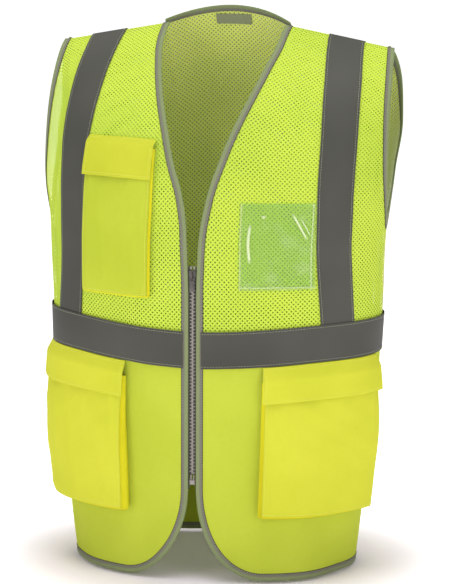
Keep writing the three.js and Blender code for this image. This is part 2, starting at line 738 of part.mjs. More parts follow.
function flapStand(pocket, drop) {
  const share = (drop - pocket.tuck) / (pocket.topZ(0.5) - pocket.tuck - pocket.bottomZ);
  const over = pocketStand(pocket, share) + fabric + patchRoom;
  return lerp(layerOne, over, THREE.MathUtils.smoothstep(drop, -pocket.tuck / 4, pocket.tuck));
}

function flapGrid(pocket, from, to, edge, rows) {
  return gridOf(steps(pocket.columns), steps(rows), (u, v) => {
    const across = lerp(edge, 1 - edge, u);
    const z = pocket.topZ(across) - lerp(from, to, v);
    return body(pocket.turn(across, z), z);
  });
}

function flap(pocket, side) {
  const rows = 8;
  const grid = flapGrid(pocket, 0, pocket.flapHeight, -flapProud, rows);
  const stand = (j) => flapStand(pocket, (pocket.flapHeight * j) / rows);
  return sheet(sided(grid, side), stand, (j) => stand(j) + flapThick);
}

// Hook patch under the flap (onFlap) or loop patch on the pocket's front.
function patch(pocket, side, onFlap) {
  const rows = 2;
  const to = pocket.flapHeight - seamInset;
  const from = to - patchHeight;
  const grid = flapGrid(pocket, from, to, 0.25, rows);
  const low = (j) => {
    const under = flapStand(pocket, lerp(from, to, j / rows));
    return onFlap ? under - clearance - patchThick : under - patchRoom + clearance;
  };
  return sheet(sided(grid, side), low, (j) => low(j) + patchThick);
}

function addPocket(name, pocket, side) {
  add(`${name}_pocket_front`, pocketFront(pocket, side), "pocket");
  add(`${name}_pocket_gusset`, gusset(pocket, side), "pocket");
  add(`${name}_loop_patch`, patch(pocket, side, false), "hook");
  add(`${name}_flap`, flap(pocket, side), "pocket");
  add(`${name}_hook_patch`, patch(pocket, side, true), "hook");
}

addPocket("chest", chestPocket, -1);
addPocket("cargo_left", cargoPocket, 1);
addPocket("cargo_right", cargoPocket, -1);

const windowGrid = gridOf(steps(7), steps(6), (u, v) => {
  const z = windowTopZ - windowHeight * v;
  return body(turnAtX(lerp(windowInner, windowOuter, u), z), z);
});
add("id_window", sheet(windowGrid, layerOne, layerOne + windowThick), "clear");

export default vest;
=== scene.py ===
import math

import bpy
import numpy as np
from mathutils import Matrix, Vector


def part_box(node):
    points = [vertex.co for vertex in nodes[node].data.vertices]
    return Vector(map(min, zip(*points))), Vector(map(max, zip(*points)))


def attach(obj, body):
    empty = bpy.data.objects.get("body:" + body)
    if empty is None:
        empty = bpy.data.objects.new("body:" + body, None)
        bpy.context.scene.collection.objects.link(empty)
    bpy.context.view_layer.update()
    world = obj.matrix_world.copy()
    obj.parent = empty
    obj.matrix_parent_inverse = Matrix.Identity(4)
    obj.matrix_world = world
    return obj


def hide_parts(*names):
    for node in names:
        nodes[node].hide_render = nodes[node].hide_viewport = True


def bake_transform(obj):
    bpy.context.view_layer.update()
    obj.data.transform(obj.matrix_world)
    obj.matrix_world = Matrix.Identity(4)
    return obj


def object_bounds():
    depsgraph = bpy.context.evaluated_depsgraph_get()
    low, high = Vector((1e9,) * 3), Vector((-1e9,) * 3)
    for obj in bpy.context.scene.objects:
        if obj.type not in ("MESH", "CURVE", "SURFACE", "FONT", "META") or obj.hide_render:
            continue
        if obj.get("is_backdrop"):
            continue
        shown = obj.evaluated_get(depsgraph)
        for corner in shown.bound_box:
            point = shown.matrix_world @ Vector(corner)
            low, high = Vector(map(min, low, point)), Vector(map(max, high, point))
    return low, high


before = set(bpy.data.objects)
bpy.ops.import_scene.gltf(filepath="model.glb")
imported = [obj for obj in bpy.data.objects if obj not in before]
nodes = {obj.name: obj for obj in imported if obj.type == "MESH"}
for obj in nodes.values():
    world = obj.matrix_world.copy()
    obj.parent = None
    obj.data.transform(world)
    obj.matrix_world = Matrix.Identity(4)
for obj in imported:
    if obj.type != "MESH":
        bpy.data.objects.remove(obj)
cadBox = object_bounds()
mm = 0.001

# The worn shape, in metres, as the CAD part has it. Stations run upwards: height, value.
shape = {
    "neckHalf": 0.089, "shoulderHalf": 0.228, "shoulderFall": 10.5, "shoulderY": 0.062,
    "neckRise": 0.018, "neckDepth": 0.032, "underarm": -0.270, "hem": -0.726,
    "cornerAcross": 0.084, "cornerUp": 0.116, "beltTop": -0.394, "beltRise": 0.012,
    "tapeWidth": 0.050, "seamGap": 0.0008, "zipEdge": 0.0127,
    "fabric": 0.0008, "layerOne": 0.0015, "layerTwo": 0.0028, "tape": 0.0006,
}


def through(stations):
    at, value = np.array(stations, float).T * mm
    slope = np.diff(value) / np.diff(at)
    tangent = np.zeros(len(at))
    tangent[0], tangent[-1] = slope[0], slope[-1]
    same = slope[:-1] * slope[1:] > 0
    total = np.where(same, slope[:-1] + slope[1:], 1)
    tangent[1:-1] = np.where(same, 2 * slope[:-1] * slope[1:] / total, 0)

    def read(height):
        h = np.clip(height, at[0], at[-1])
        i = np.clip(np.searchsorted(at, h) - 1, 0, len(at) - 2)
        span = at[i + 1] - at[i]
        t = (h - at[i]) / span
        s = 1 - t
        ends = value[i] * s * s * (1 + 2 * t) + value[i + 1] * t * t * (3 - 2 * t)
        return ends + span * t * s * (tangent[i] * s - tangent[i + 1] * t)

    return read


halfWidthAt = through([(-726, 194), (-600, 209), (-440, 225), (-270, 233), (-190, 242), (-110, 248),
                       (60, 250)])
frontDepthAt = through([(-726, 140), (-625, 130), (-285, 130), (-225, 121), (-170, 117), (60, 117)])
backDepthAt = through([(-726, 146), (-600, 140), (-420, 133), (-200, 130), (60, 120)])
backSquareAt = through([(-726, 2.1), (-420, 2.2), (-300, 2.4), (-190, 3.2), (-120, 5), (60, 5)])
neckEdgeAt = through([(-330, 12.7), (-265, 15.7), (-215, 23.7), (-170, 38), (-130, 51), (-80, 69), (-50, 79),
                      (-22, 87), (0, 89)])
frontArmAt = through([(-270, 90), (-230, 86.5), (-186, 83.2), (-126, 80.9), (-73, 79.6), (-36, 78.4),
                      (-24, 77.6)])
backArmAt = through([(-270, 90), (-230, 84), (-190, 78), (-150, 73), (-120, 69.5), (-70, 68.2), (-37, 66),
                     (-24, 64.2)])
tapeInnerAt = through([(-400, 168), (-270, 161), (-150, 160), (-60, 153), (0, 143)])


def smooth(low, high, value):
    t = np.clip((value - low) / (high - low), 0, 1)
    return t * t * (3 - 2 * t)


def mix(low, high, share):
    return low + (high - low) * share


def lengthsAlong(points):
    return np.concatenate([[0], np.cumsum(np.linalg.norm(np.diff(points, axis=0), axis=1))])


def topOf(x, isBack):
    out = np.abs(x)
    inside = np.maximum(0, 1 - (out / shape["neckHalf"]) ** 2)
    atNeck = isBack & (out < shape["neckHalf"])
    fall = -math.tan(math.radians(shape["shoulderFall"])) * (out - shape["neckHalf"])
    y = shape["shoulderY"] + np.where(atNeck, shape["neckDepth"] * inside, 0)
    return y, np.where(atNeck, shape["neckRise"] * inside, fall)


# A point of the body: turn is 0 at the zip, a quarter at the wearer's left side, a half at the back.
def surface(turn, z):
    turn, z = np.broadcast_arrays(np.asarray(turn, float), np.asarray(z, float))
    isBack = np.cos(turn) < 0
    power = np.where(isBack, backSquareAt(z) / mm, 2)
    depth = np.where(isBack, backDepthAt(z), frontDepthAt(z))
    across = (np.abs(np.sin(turn)) / halfWidthAt(z)) ** power
    along = (np.abs(np.cos(turn)) / depth) ** power
    radius = (across + along) ** (-1 / power)
    x = radius * np.sin(turn)
    topY, topZ = topOf(x, isBack)
    seamY = topY + np.where(isBack, 1, -1) * shape["seamGap"] / 2
    reach = np.where(isBack, 0.150, 0.200)
    left = 1 - np.clip((topZ - z) / reach, 0, 1)
    full = -radius * np.cos(turn)
    return np.stack([x, seamY + (full - seamY) * (1 - left ** 1.65) ** 0.8, z], -1)


def unit(vectors):
    return vectors / np.maximum(np.linalg.norm(vectors, axis=-1, keepdims=True), 1e-12)


def depthBelow(turn, z):
    x = surface(turn, z)[..., 0]
    return topOf(x, np.cos(np.asarray(turn)) < 0)[1] - z


def outward(turn, z):
    z = z - np.maximum(0, 0.003 - depthBelow(turn, z))
    around = surface(turn + 0.004, z) - surface(turn - 0.004, z)
    up = surface(turn, z + 0.0005) - surface(turn, z - 0.0005)
    return unit(np.cross(around, up))


# Soft hanging folds that every layer follows. The zip and the shoulders stay calm.
drape = {"wide": 0.0017, "fine": 0.0007, "low": 0.0022}


def folds(turn, z):
    turn = np.mod(turn, 2 * math.pi)
    calm = smooth(0.16, 0.5, np.abs(np.sin(turn) + 0 * z) + (np.cos(turn) < 0))
    calm = calm * smooth(0.05, 0.16, depthBelow(turn, z))
    low = smooth(-0.42, -0.70, z)
    wide = drape["wide"] * np.sin(6.1 * turn + 7 * z + 0.8)
    fine = drape["fine"] * np.sin(13 * turn - 19 * z + 1.7) * np.sin(31 * z + 2.2 * turn)
    hanging = drape["low"] * low * np.sin(8.3 * turn + 2.4 + 3 * z)
    return calm * (wide + fine + hanging)


def skin(turn, z, lift=0.0):
    turn, z = np.broadcast_arrays(np.asarray(turn, float), np.asarray(z, float))
    return surface(turn, z) + outward(turn, z) * (lift + folds(turn, z))[..., None]


def turnAtX(x, z):
    share = np.minimum(1, np.abs(x) / halfWidthAt(z))
    return np.sign(x) * np.arctan2(np.abs(x), frontDepthAt(z) * np.sqrt(1 - share * share))


def backTurnAtX(x, z):
    power = backSquareAt(z) / mm
    share = np.minimum(1, np.abs(x) / halfWidthAt(z))
    depth = backDepthAt(z) * (1 - share ** power) ** (1 / power)
    return math.pi - np.arctan2(x, depth)


def beltMiddle(turn):
    side = np.where(np.cos(turn) > 0, np.sin(turn) ** 2, 1)
    return shape["beltTop"] - shape["tapeWidth"] / 2 + shape["beltRise"] * side


quarter = math.pi / 2
sideTurn = quarter - shape["seamGap"] / 2 / float(halfWidthAt(shape["underarm"]))
heights = np.linspace(-0.75, -0.35, 41)
turnSteps = np.linspace(0, quarter, 91)
arcs = []
for height in heights:
    ring = surface(turnSteps, np.full(91, height))
    arcs.append(lengthsAlong(ring))
beltLength = float(lengthsAlong(surface(turnSteps, np.full(91, shape["beltTop"])))[-1])


# The turn that lies a length of cloth away from the zip, kept as a share of the quarter round.
def turnAtCloth(length, z):
    length, z = np.broadcast_arrays(np.asarray(length, float), np.asarray(z, float))
    byHeight = np.array([np.interp(length / beltLength, arc / arc[-1], turnSteps) for arc in arcs])
    place = np.clip((z - heights[0]) / (heights[1] - heights[0]), 0, len(heights) - 1.001)
    low = place.astype(int)
    rest = place - low
    pick = lambda level: np.take_along_axis(byHeight, level[None], 0)[0]
    return pick(low) * (1 - rest) + pick(low + 1) * rest


# ---- meshes
def makeMesh(name, points, faces, uv=None):
    mesh = bpy.data.meshes.new(name)
    mesh.from_pydata(np.asarray(points).reshape(-1, 3).tolist(), [], faces)
    if uv is not None:
        corners = np.empty(len(mesh.loops), np.int32)
        mesh.loops.foreach_get("vertex_index", corners)
        layer = mesh.uv_layers.new(name="cloth")
        layer.data.foreach_set("uv", np.asarray(uv, np.float32).reshape(-1, 2)[corners].ravel())
    mesh.shade_smooth()
    mesh.update()
    piece = bpy.data.objects.new(name, mesh)
    bpy.context.scene.collection.objects.link(piece)
    return piece


def gridFaces(rows, columns, start=0):
    j, i = np.meshgrid(np.arange(rows - 1), np.arange(columns - 1), indexing="ij")
    a = (j * columns + i + start).ravel()
    return np.stack([a, a + columns, a + columns + 1, a + 1], 1).tolist()


def rimOf(rows, columns):
    at = lambda j, i: j * columns + i
    rim = [at(j, 0) for j in range(rows)]
    rim += [at(rows - 1, i) for i in range(1, columns)]
    rim += [at(j, columns - 1) for j in range(rows - 2, -1, -1)]
    return rim + [at(0, i) for i in range(columns - 2, 0, -1)]


def slab(name, outer, inner, uv=None):
    rows, columns = outer.shape[:2]
    size = rows * columns
    faces = gridFaces(rows, columns)
    faces += [face[::-1] for face in gridFaces(rows, columns, size)]
    rim = rimOf(rows, columns)
    faces += [[a, a + size, b + size, b] for a, b in zip(rim, rim[1:] + rim[:1])]
    points = np.concatenate([outer.reshape(-1, 3), inner.reshape(-1, 3)])
    piece = makeMesh(name, points, faces, None if uv is None else np.concatenate([uv.reshape(-1, 2)] * 2))
    crisp(piece)
    return piece


def crisp(piece):
    bpy.ops.object.select_all(action="DESELECT")
    piece.select_set(True)
    bpy.context.view_layer.objects.active = piece
    bpy.ops.object.shade_smooth_by_angle(angle=math.radians(38))


def rowLengths(grid):
    steps = np.cumsum(np.linalg.norm(np.diff(grid, axis=1), axis=2), 1)
    return np.concatenate([np.zeros((len(grid), 1)), steps], 1)


# Lengths along the rows and columns of a grid, as cloth coordinates in metres.
def clothUv(grid):
    across = rowLengths(grid)
    down = rowLengths(np.swapaxes(grid, 0, 1)).T
    return np.stack([across, -down], -1)


def sided(grid, side):
    return grid if side > 0 else grid[:, ::-1]


def pathFrame(turn, z, side, lift=0.0):
    points = skin(turn, z, lift)
    normals = outward(turn, z)
    along = unit(np.gradient(points, axis=0))
    out = unit(np.cross(along, normals) * side)
    straight = unit(np.cross(out, along) * side)
    return points, out, straight * np.sign(np.sum(straight * normals, -1, keepdims=True))


# A strip of closed section along a path; the section is a list of (out, normal, share across).
def swept(name, points, out, normals, section):
    section = np.array(section, float)
    count = len(section)
    rings = (points[:, None] + out[:, None] * section[None, :, :1] * mm
             + normals[:, None] * section[None, :, 1:2] * mm)
    steps = lengthsAlong(points)
    uv = np.stack([np.broadcast_to(section[None, :, 2], rings.shape[:2]),
                   np.broadcast_to(steps[:, None], rings.shape[:2])], -1)
    k, i = np.meshgrid(np.arange(len(points) - 1), np.arange(count), indexing="ij")
    a, b = (k * count + i).ravel(), (k * count + (i + 1) % count).ravel()
    faces = np.stack([a, b, b + count, a + count], 1)
    middle = rings[0].mean(0)
    first = np.cross(rings[0][1] - rings[0][0], rings[1][0] - rings[0][0])
    if np.dot(first, rings[0][0] - middle) < 0:
        faces = faces[:, ::-1]
        caps = [list(range(count)), list(range(len(rings) * count - 1, (len(rings) - 1) * count - 1, -1))]
    else:
        caps = [list(range(count - 1, -1, -1)), list(range((len(rings) - 1) * count, len(rings) * count))]
    return makeMesh(name, rings, faces.tolist() + caps, uv)


# ---- sewing: short threads laid along lines on the cloth
stitch = {"length": 0.0027, "gap": 0.0011, "half": 0.00034, "rise": 0.00042}
threadSection = np.array([(1, 0), (0, 1), (-1, 0), (0, -1)], float)


def resample(line, pitch):
    steps = lengthsAlong(line)
    count = max(2, int(steps[-1] / pitch))
    places = (np.arange(count) + 0.5) * steps[-1] / count
    read = lambda at: np.stack([np.interp(at, steps, line[:, axis]) for axis in range(3)], -1)
    half = stitch["length"] / 2
    return read(places - half), read(places + half)


def stitches(name, lines):
    points, faces, start = [], [], 0
    for line, normals in lines:
        first, last = resample(line, stitch["length"] + stitch["gap"])
        along = unit(last - first)
        nearest = np.argmin(np.linalg.norm(first[:, None] - line[None], axis=2), 1)
        up = unit(normals[nearest])
        beside = unit(np.cross(along, up))
        for share, wide in ((0, 0.35), (0.3, 1), (0.7, 1), (1, 0.35)):
            centre = mix(first, last, share)
            for a, b in threadSection:
                points.append(centre + beside * a * stitch["half"] * wide + up * b * stitch["rise"] * wide)
        count = len(first)
        for k in range(count):
            at = lambda level, corner: start + (level * 4 + corner % 4) * count + k
            for level in range(3):
                for corner in range(4):
                    faces.append([at(level, corner), at(level, corner + 1), at(level + 1, corner + 1),
                                  at(level + 1, corner)])
            faces.append([at(0, 3), at(0, 2), at(0, 1), at(0, 0)])
            faces.append([at(3, 0), at(3, 1), at(3, 2), at(3, 3)])
        start += 16 * count
    return makeMesh(name, np.concatenate(points), faces)


def lineOn(turn, z, lift):
    return skin(turn, z, lift), outward(turn, z)


print("shape ready")


# ---- materials
def linear(red, green, blue):
    channel = lambda c: c / 12.92 if c <= 0.04045 else ((c + 0.055) / 1.055) ** 2.4
    return tuple(channel(c / 255) for c in (red, green, blue)) + (1.0,)


class Wire:
    def __init__(self, paint, socket):
        self.paint = paint
        self.socket = socket

    def combine(self, operation, first, second):
        return self.paint.make("ShaderNodeMath", [first, second], operation=operation)

    def __add__(self, other):
        return self.combine("ADD", self, other)

    def __radd__(self, other):
        return self.combine("ADD", other, self)

    def __sub__(self, other):
        return self.combine("SUBTRACT", self, other)

    def __rsub__(self, other):
        return self.combine("SUBTRACT", other, self)

    def __mul__(self, other):
        return self.combine("MULTIPLY", self, other)

    def __rmul__(self, other):
        return self.combine("MULTIPLY", other, self)

    def __truediv__(self, other):
        return self.combine("DIVIDE", self, other)

    def __abs__(self):
        return self.combine("ABSOLUTE", self, None)

    def sin(self):
        return self.combine("SINE", self, None)

    def atMost(self, other):
        return self.combine("MINIMUM", self, other)

    def atLeast(self, other):
        return self.combine("MAXIMUM", self, other)

    def ramp(self, low, high):
        return self.paint.make("ShaderNodeMapRange", {"Value": self, "From Min": low, "From Max": high},
                               interpolation_type="SMOOTHSTEP")


class Paint:
    def __init__(self, name):
        self.material = bpy.data.materials.new(name)
        self.material.use_nodes = True
        self.tree = self.material.node_tree
        self.tree.nodes.clear()
        self.out = self.tree.nodes.new("ShaderNodeOutputMaterial")

    def feed(self, slot, value):
        if isinstance(value, Wire):
            self.tree.links.new(value.socket, slot)
        elif value is not None:
            slot.default_value = value

    def make(self, kind, inputs, output=0, **settings):
        made = self.tree.nodes.new(kind)
        for key, value in settings.items():
            setattr(made, key, value)
        pairs = inputs.items() if isinstance(inputs, dict) else enumerate(inputs)
        for key, value in pairs:
            self.feed(made.inputs[key], value)
        return Wire(self, made.outputs[output])

    def place(self):
        return self.make("ShaderNodeTexCoord", {}, "Object")

    def cloth(self):
        uv = self.make("ShaderNodeUVMap", {}, uv_map="cloth")
        split = self.tree.nodes.new("ShaderNodeSeparateXYZ")
        self.feed(split.inputs[0], uv)
        return Wire(self, split.outputs[0]), Wire(self, split.outputs[1])

    def split(self, vector):
        parts = self.tree.nodes.new("ShaderNodeSeparateXYZ")
        self.feed(parts.inputs[0], vector)
        return [Wire(self, output) for output in parts.outputs]

    def noise(self, scale, detail=2.0, rough=0.5):
        return self.make("ShaderNodeTexNoise", {"Vector": self.place(), "Scale": scale, "Detail": detail,
                                                "Roughness": rough}, "Fac")

    def blend(self, share, first, second):
        return self.make("ShaderNodeMix", {0: share, 6: first, 7: second}, 2, data_type="RGBA")

    def bump(self, height, strength, distance):
        return self.make("ShaderNodeBump", {"Height": height, "Strength": strength, "Distance": distance})

    def surface(self, **inputs):
        shader = self.make("ShaderNodeBsdfPrincipled", inputs)
        self.feed(self.out.inputs[0], shader)
        return self.material


def clothPaint(name, light, deep, weave, rough=0.9):
    paint = Paint(name)
    across, down = paint.cloth()
    threads = (across * weave).sin() * (down * weave).sin()
    patches = paint.noise(9.0).ramp(0.3, 0.7)
    mottle = paint.noise(160.0, 3.0)
    colour = paint.blend(patches * 0.55 + mottle * 0.45, deep, light)
    shade = paint.bump(threads * 0.6 + mottle * 0.8, 0.35, 0.0004)
    return paint.surface(**{"Base Color": colour, "Roughness": rough, "Normal": shade,
                            "Specular IOR Level": 0.08})


def netPaint(name, light, deep):
    paint = Paint(name)
    across, down = paint.cloth()
    first = abs(((across + down) * quarter).sin())
    second = abs(((across - down) * quarter).sin())
    ridge = first.atLeast(second)
    patches = paint.noise(7.0).ramp(0.3, 0.7)
    # The colour darkens from the strand tops into the grooves round the holes as painted shade, and varies in
    # random patches.
    colour = paint.blend((ridge.ramp(0.55, 1.0) * 0.7 + patches * 0.3), deep, light)
    shade = paint.bump(ridge, 0.6, 0.0006)
    return paint.surface(**{"Base Color": colour, "Roughness": 0.9, "Normal": shade,
                            "Specular IOR Level": 0.08})


def plainPaint(name, light, deep, rough, metal=0.0, scale=300.0, bump=0.0002):
    paint = Paint(name)
    grain = paint.noise(scale, 3.0)
    colour = paint.blend(grain, deep, light)
    return paint.surface(**{"Base Color": colour, "Roughness": grain * 0.2 + (rough - 0.1), "Metallic": metal,
                            "Normal": paint.bump(grain, 0.3, bump)})


def tapePaint():
    paint = Paint("reflectiveTape")
    across, down = paint.cloth()
    beads = paint.noise(900.0, 2.0)
    patches = paint.noise(6.0, 2.0).ramp(0.25, 0.75)
    ribs = ((across + down) * 2600.0).sin() * ((across - down) * 2600.0).sin()
    colour = paint.blend(patches * 0.7 + beads * 0.3, linear(61, 62, 55), linear(79, 79, 72))
    shade = paint.bump(beads + ribs * 0.4, 0.25, 0.0002)
    return paint.surface(**{"Base Color": colour, "Roughness": 0.55 + beads * 0.15, "Metallic": 0.0,
                            "Specular IOR Level": 0.25, "Normal": shade})


# Across the strip: a dark line of painted shadow next to the panel, a grey band, then a lighter green-grey
# fold that turns a darker green at its far edge.
def bindingPaint():
    paint = Paint("bindingTape")
    across, down = paint.cloth()
    grain = paint.noise(500.0, 3.0)
    ribs = (down * 5200.0).sin()
    # The dark line beside the panel is painted shadow.
    band = paint.blend(across.ramp(0.13, 0.22), linear(70, 66, 62), linear(120, 119, 106))
    outer = paint.blend(across.ramp(0.50, 0.60), band, linear(130, 142, 100))
    edge = paint.blend(across.ramp(0.90, 1.0) * 0.8, outer, linear(106, 132, 60))
    colour = paint.blend(grain * 0.25, edge, linear(110, 112, 92))
    shade = paint.bump(ribs * 0.4 + grain, 0.3, 0.0002)
    return paint.surface(**{"Base Color": colour, "Roughness": 0.8, "Normal": shade,
                            "Specular IOR Level": 0.12})


# The white glints, the lighter edge lines and a faint haze are painted highlights on the film and stay where
# they are.
def filmPaint():
    paint = Paint("clearFilm")
    across, down = paint.cloth()
    line = lambda at, wide: 1.0 - abs(across - at).ramp(0, wide)
    low = lambda at, wide: 1.0 - abs(down + at).ramp(0, wide)
    between = lambda value, start, end, soft: (
        value.ramp(start, start + soft) * (1.0 - value.ramp(end - soft, end)))
    drop = 0.0 - down
    wobble = (drop * 90.0).sin() * 0.0012
    tall = (1.0 - abs(across - 0.014 - wobble).ramp(0.0005, 0.0028)) * between(drop, 0.026, 0.082, 0.01)
    slant = across - drop * 0.62 - 0.062
    upper = (1.0 - abs(slant).ramp(0.0004, 0.0022)) * between(drop, 0.012, 0.05, 0.008)
    beside = (1.0 - abs(slant - 0.0075).ramp(0.0002, 0.0012)) * between(drop, 0.02, 0.044, 0.006)
    spot = (1.0 - abs(across - 0.032).ramp(0, 0.004)) * (1.0 - abs(drop - 0.018).ramp(0, 0.003))
    rim = line(0.0022, 0.0016).atLeast(line(0.0985, 0.0016)).atLeast(low(0.113, 0.0016))
    hazySheen = paint.noise(30.0, 2.0).ramp(0.5, 0.8)
    glint = tall.atLeast(upper).atLeast(beside).atLeast(spot).atLeast(rim * 0.45).atLeast(hazySheen * 0.12)
    clear = paint.make("ShaderNodeBsdfTransparent", {"Color": linear(238, 247, 236)})
    glossy = paint.make("ShaderNodeBsdfPrincipled", {
        "Base Color": linear(232, 240, 196), "Roughness": 0.25,
        "Normal": paint.bump(glint, 0.3, 0.0006)})
    joined = paint.make("ShaderNodeMixShader", [glint * 0.62 + 0.06, clear, glossy])
    paint.feed(paint.out.inputs[0], joined)
    return paint.material


paints = {
    "net": netPaint("openMesh", linear(196, 216, 76), linear(158, 192, 58)),
    # The back panel is the same mesh cloth as the front, painted lighter to make up for the shade inside the
    # vest.
    "netLightened": netPaint("openMeshBack", linear(232, 240, 122), linear(186, 204, 92)),
    # Painted shade for the mesh holes: a dark sheet standing in for the shaded inside of the vest.
    "shadeSheet": plainPaint("meshShade", linear(66, 100, 44), linear(28, 60, 30), 0.95),
    "lower": clothPaint("solidCloth", linear(192, 204, 68), linear(180, 194, 58), 9000.0),
    "chest": clothPaint("chestCloth", linear(188, 200, 62), linear(176, 190, 54), 9000.0),
    "chestTop": clothPaint("chestFlapCloth", linear(198, 202, 60), linear(188, 194, 52), 9000.0),
    "pocket": clothPaint("pocketCloth", linear(208, 210, 64), linear(198, 203, 56), 9000.0),
    "gusset": clothPaint("gussetCloth", linear(224, 218, 44), linear(208, 198, 34), 9000.0),
    "tape": tapePaint(),
    "binding": bindingPaint(),
    "thread": plainPaint("sewingThread", linear(172, 174, 150), linear(140, 142, 118), 0.7, 0.0, 1500.0),
    "yellowThread": plainPaint("yellowThread", linear(232, 232, 110), linear(206, 208, 70), 0.7, 0.0, 1500.0),
    "zipTape": plainPaint("zipTapeCloth", linear(92, 90, 82), linear(62, 60, 54), 0.85, 0.0, 900.0),
    "plastic": plainPaint("zipPlastic", linear(158, 152, 146), linear(122, 118, 110), 0.4, 0.0, 200.0),
    "metal": plainPaint("zipMetal", linear(100, 97, 93), linear(76, 73, 70), 0.38, 0.55, 260.0),
    "film": filmPaint(),
    "hook": plainPaint("hookAndLoop", linear(212, 218, 70), linear(170, 176, 48), 0.95, 0.0, 1400.0, 0.0006),
    "seam": plainPaint("seamTape", linear(150, 156, 120), linear(116, 122, 92), 0.85, 0.0, 700.0),
}


def dress(piece, paint, slotName, *replaced):
    piece.data.materials.clear()
    piece.data.materials.append(paints[paint])
    if replaced:
        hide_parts(*replaced)
    return piece


def settle(piece, paint, slotName, *replaced):
    dress(piece, paint, slotName, *replaced)
    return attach(piece, "root")


print("materials ready")

# ---- open mesh panels: a staggered lattice of holes, cut to the panel's outline.
# A dark sheet of painted shade closes every hole of the back and those beside the zip, standing in for the
# shaded inside seen through them, so these only look open.
net = {"pitch": 0.0031, "hole": 0.32, "middle": 0.0004, "shadeSheet": 0.0003, "soft": 0.62}
hexAngles = [math.radians(60 * k) for k in range(6)]


def rowHeights(turn, v):
    belt = beltMiddle(turn) + shape["seamGap"] / 2
    isBack = np.cos(turn) < 0
    z = mix(-0.02, belt, v)
    for _ in range(5):
        top = topOf(surface(turn, z)[..., 0], isBack)[1] - 0.00002
        z = mix(top, belt, v)
    return z


def evenRows(turn, pitch):
    v = np.linspace(0, 1, 1200) ** 1.5
    line = surface(np.full(1200, turn), rowHeights(np.full(1200, turn), v))
    steps = lengthsAlong(line)
    count = 2 * round(steps[-1] / pitch / 2)
    return np.interp(np.linspace(0, steps[-1], count + 1), steps, v)


def crossing(values, places):
    k = int(np.argmax(values > 0))
    if k == 0:
        return places[0]
    share = -values[k - 1] / (values[k] - values[k - 1])
    return mix(places[k - 1], places[k], share)


def netRow(v, isBack, pitch, columns):
    if isBack:
        turn = np.linspace(quarter + 0.0001, 3 * quarter - 0.0001, 500)
    else:
        turn = np.linspace(0, quarter, 300)
    z = rowHeights(turn, np.full(len(turn), v))
    ring = surface(turn, z)
    steps = lengthsAlong(ring)
    if isBack:
        steps = steps - steps[-1] / 2
        spread = math.pi - turn
        limit = np.minimum(np.radians(backArmAt(z) / mm), sideTurn)
        low = crossing(limit - spread, turn)
        high = 2 * math.pi - low
    else:
        low = crossing(ring[:, 0] - neckEdgeAt(z), turn)
        limit = np.minimum(np.radians(frontArmAt(z) / mm), sideTurn)
        high = crossing(turn - limit, turn) if (turn > limit).any() else sideTurn
    lowStep, highStep = np.interp([low, high], turn, steps)
    place = np.clip(columns * pitch, lowStep, highStep)
    at = np.interp(place, steps, turn)
    return at, np.interp(at, turn, z), place


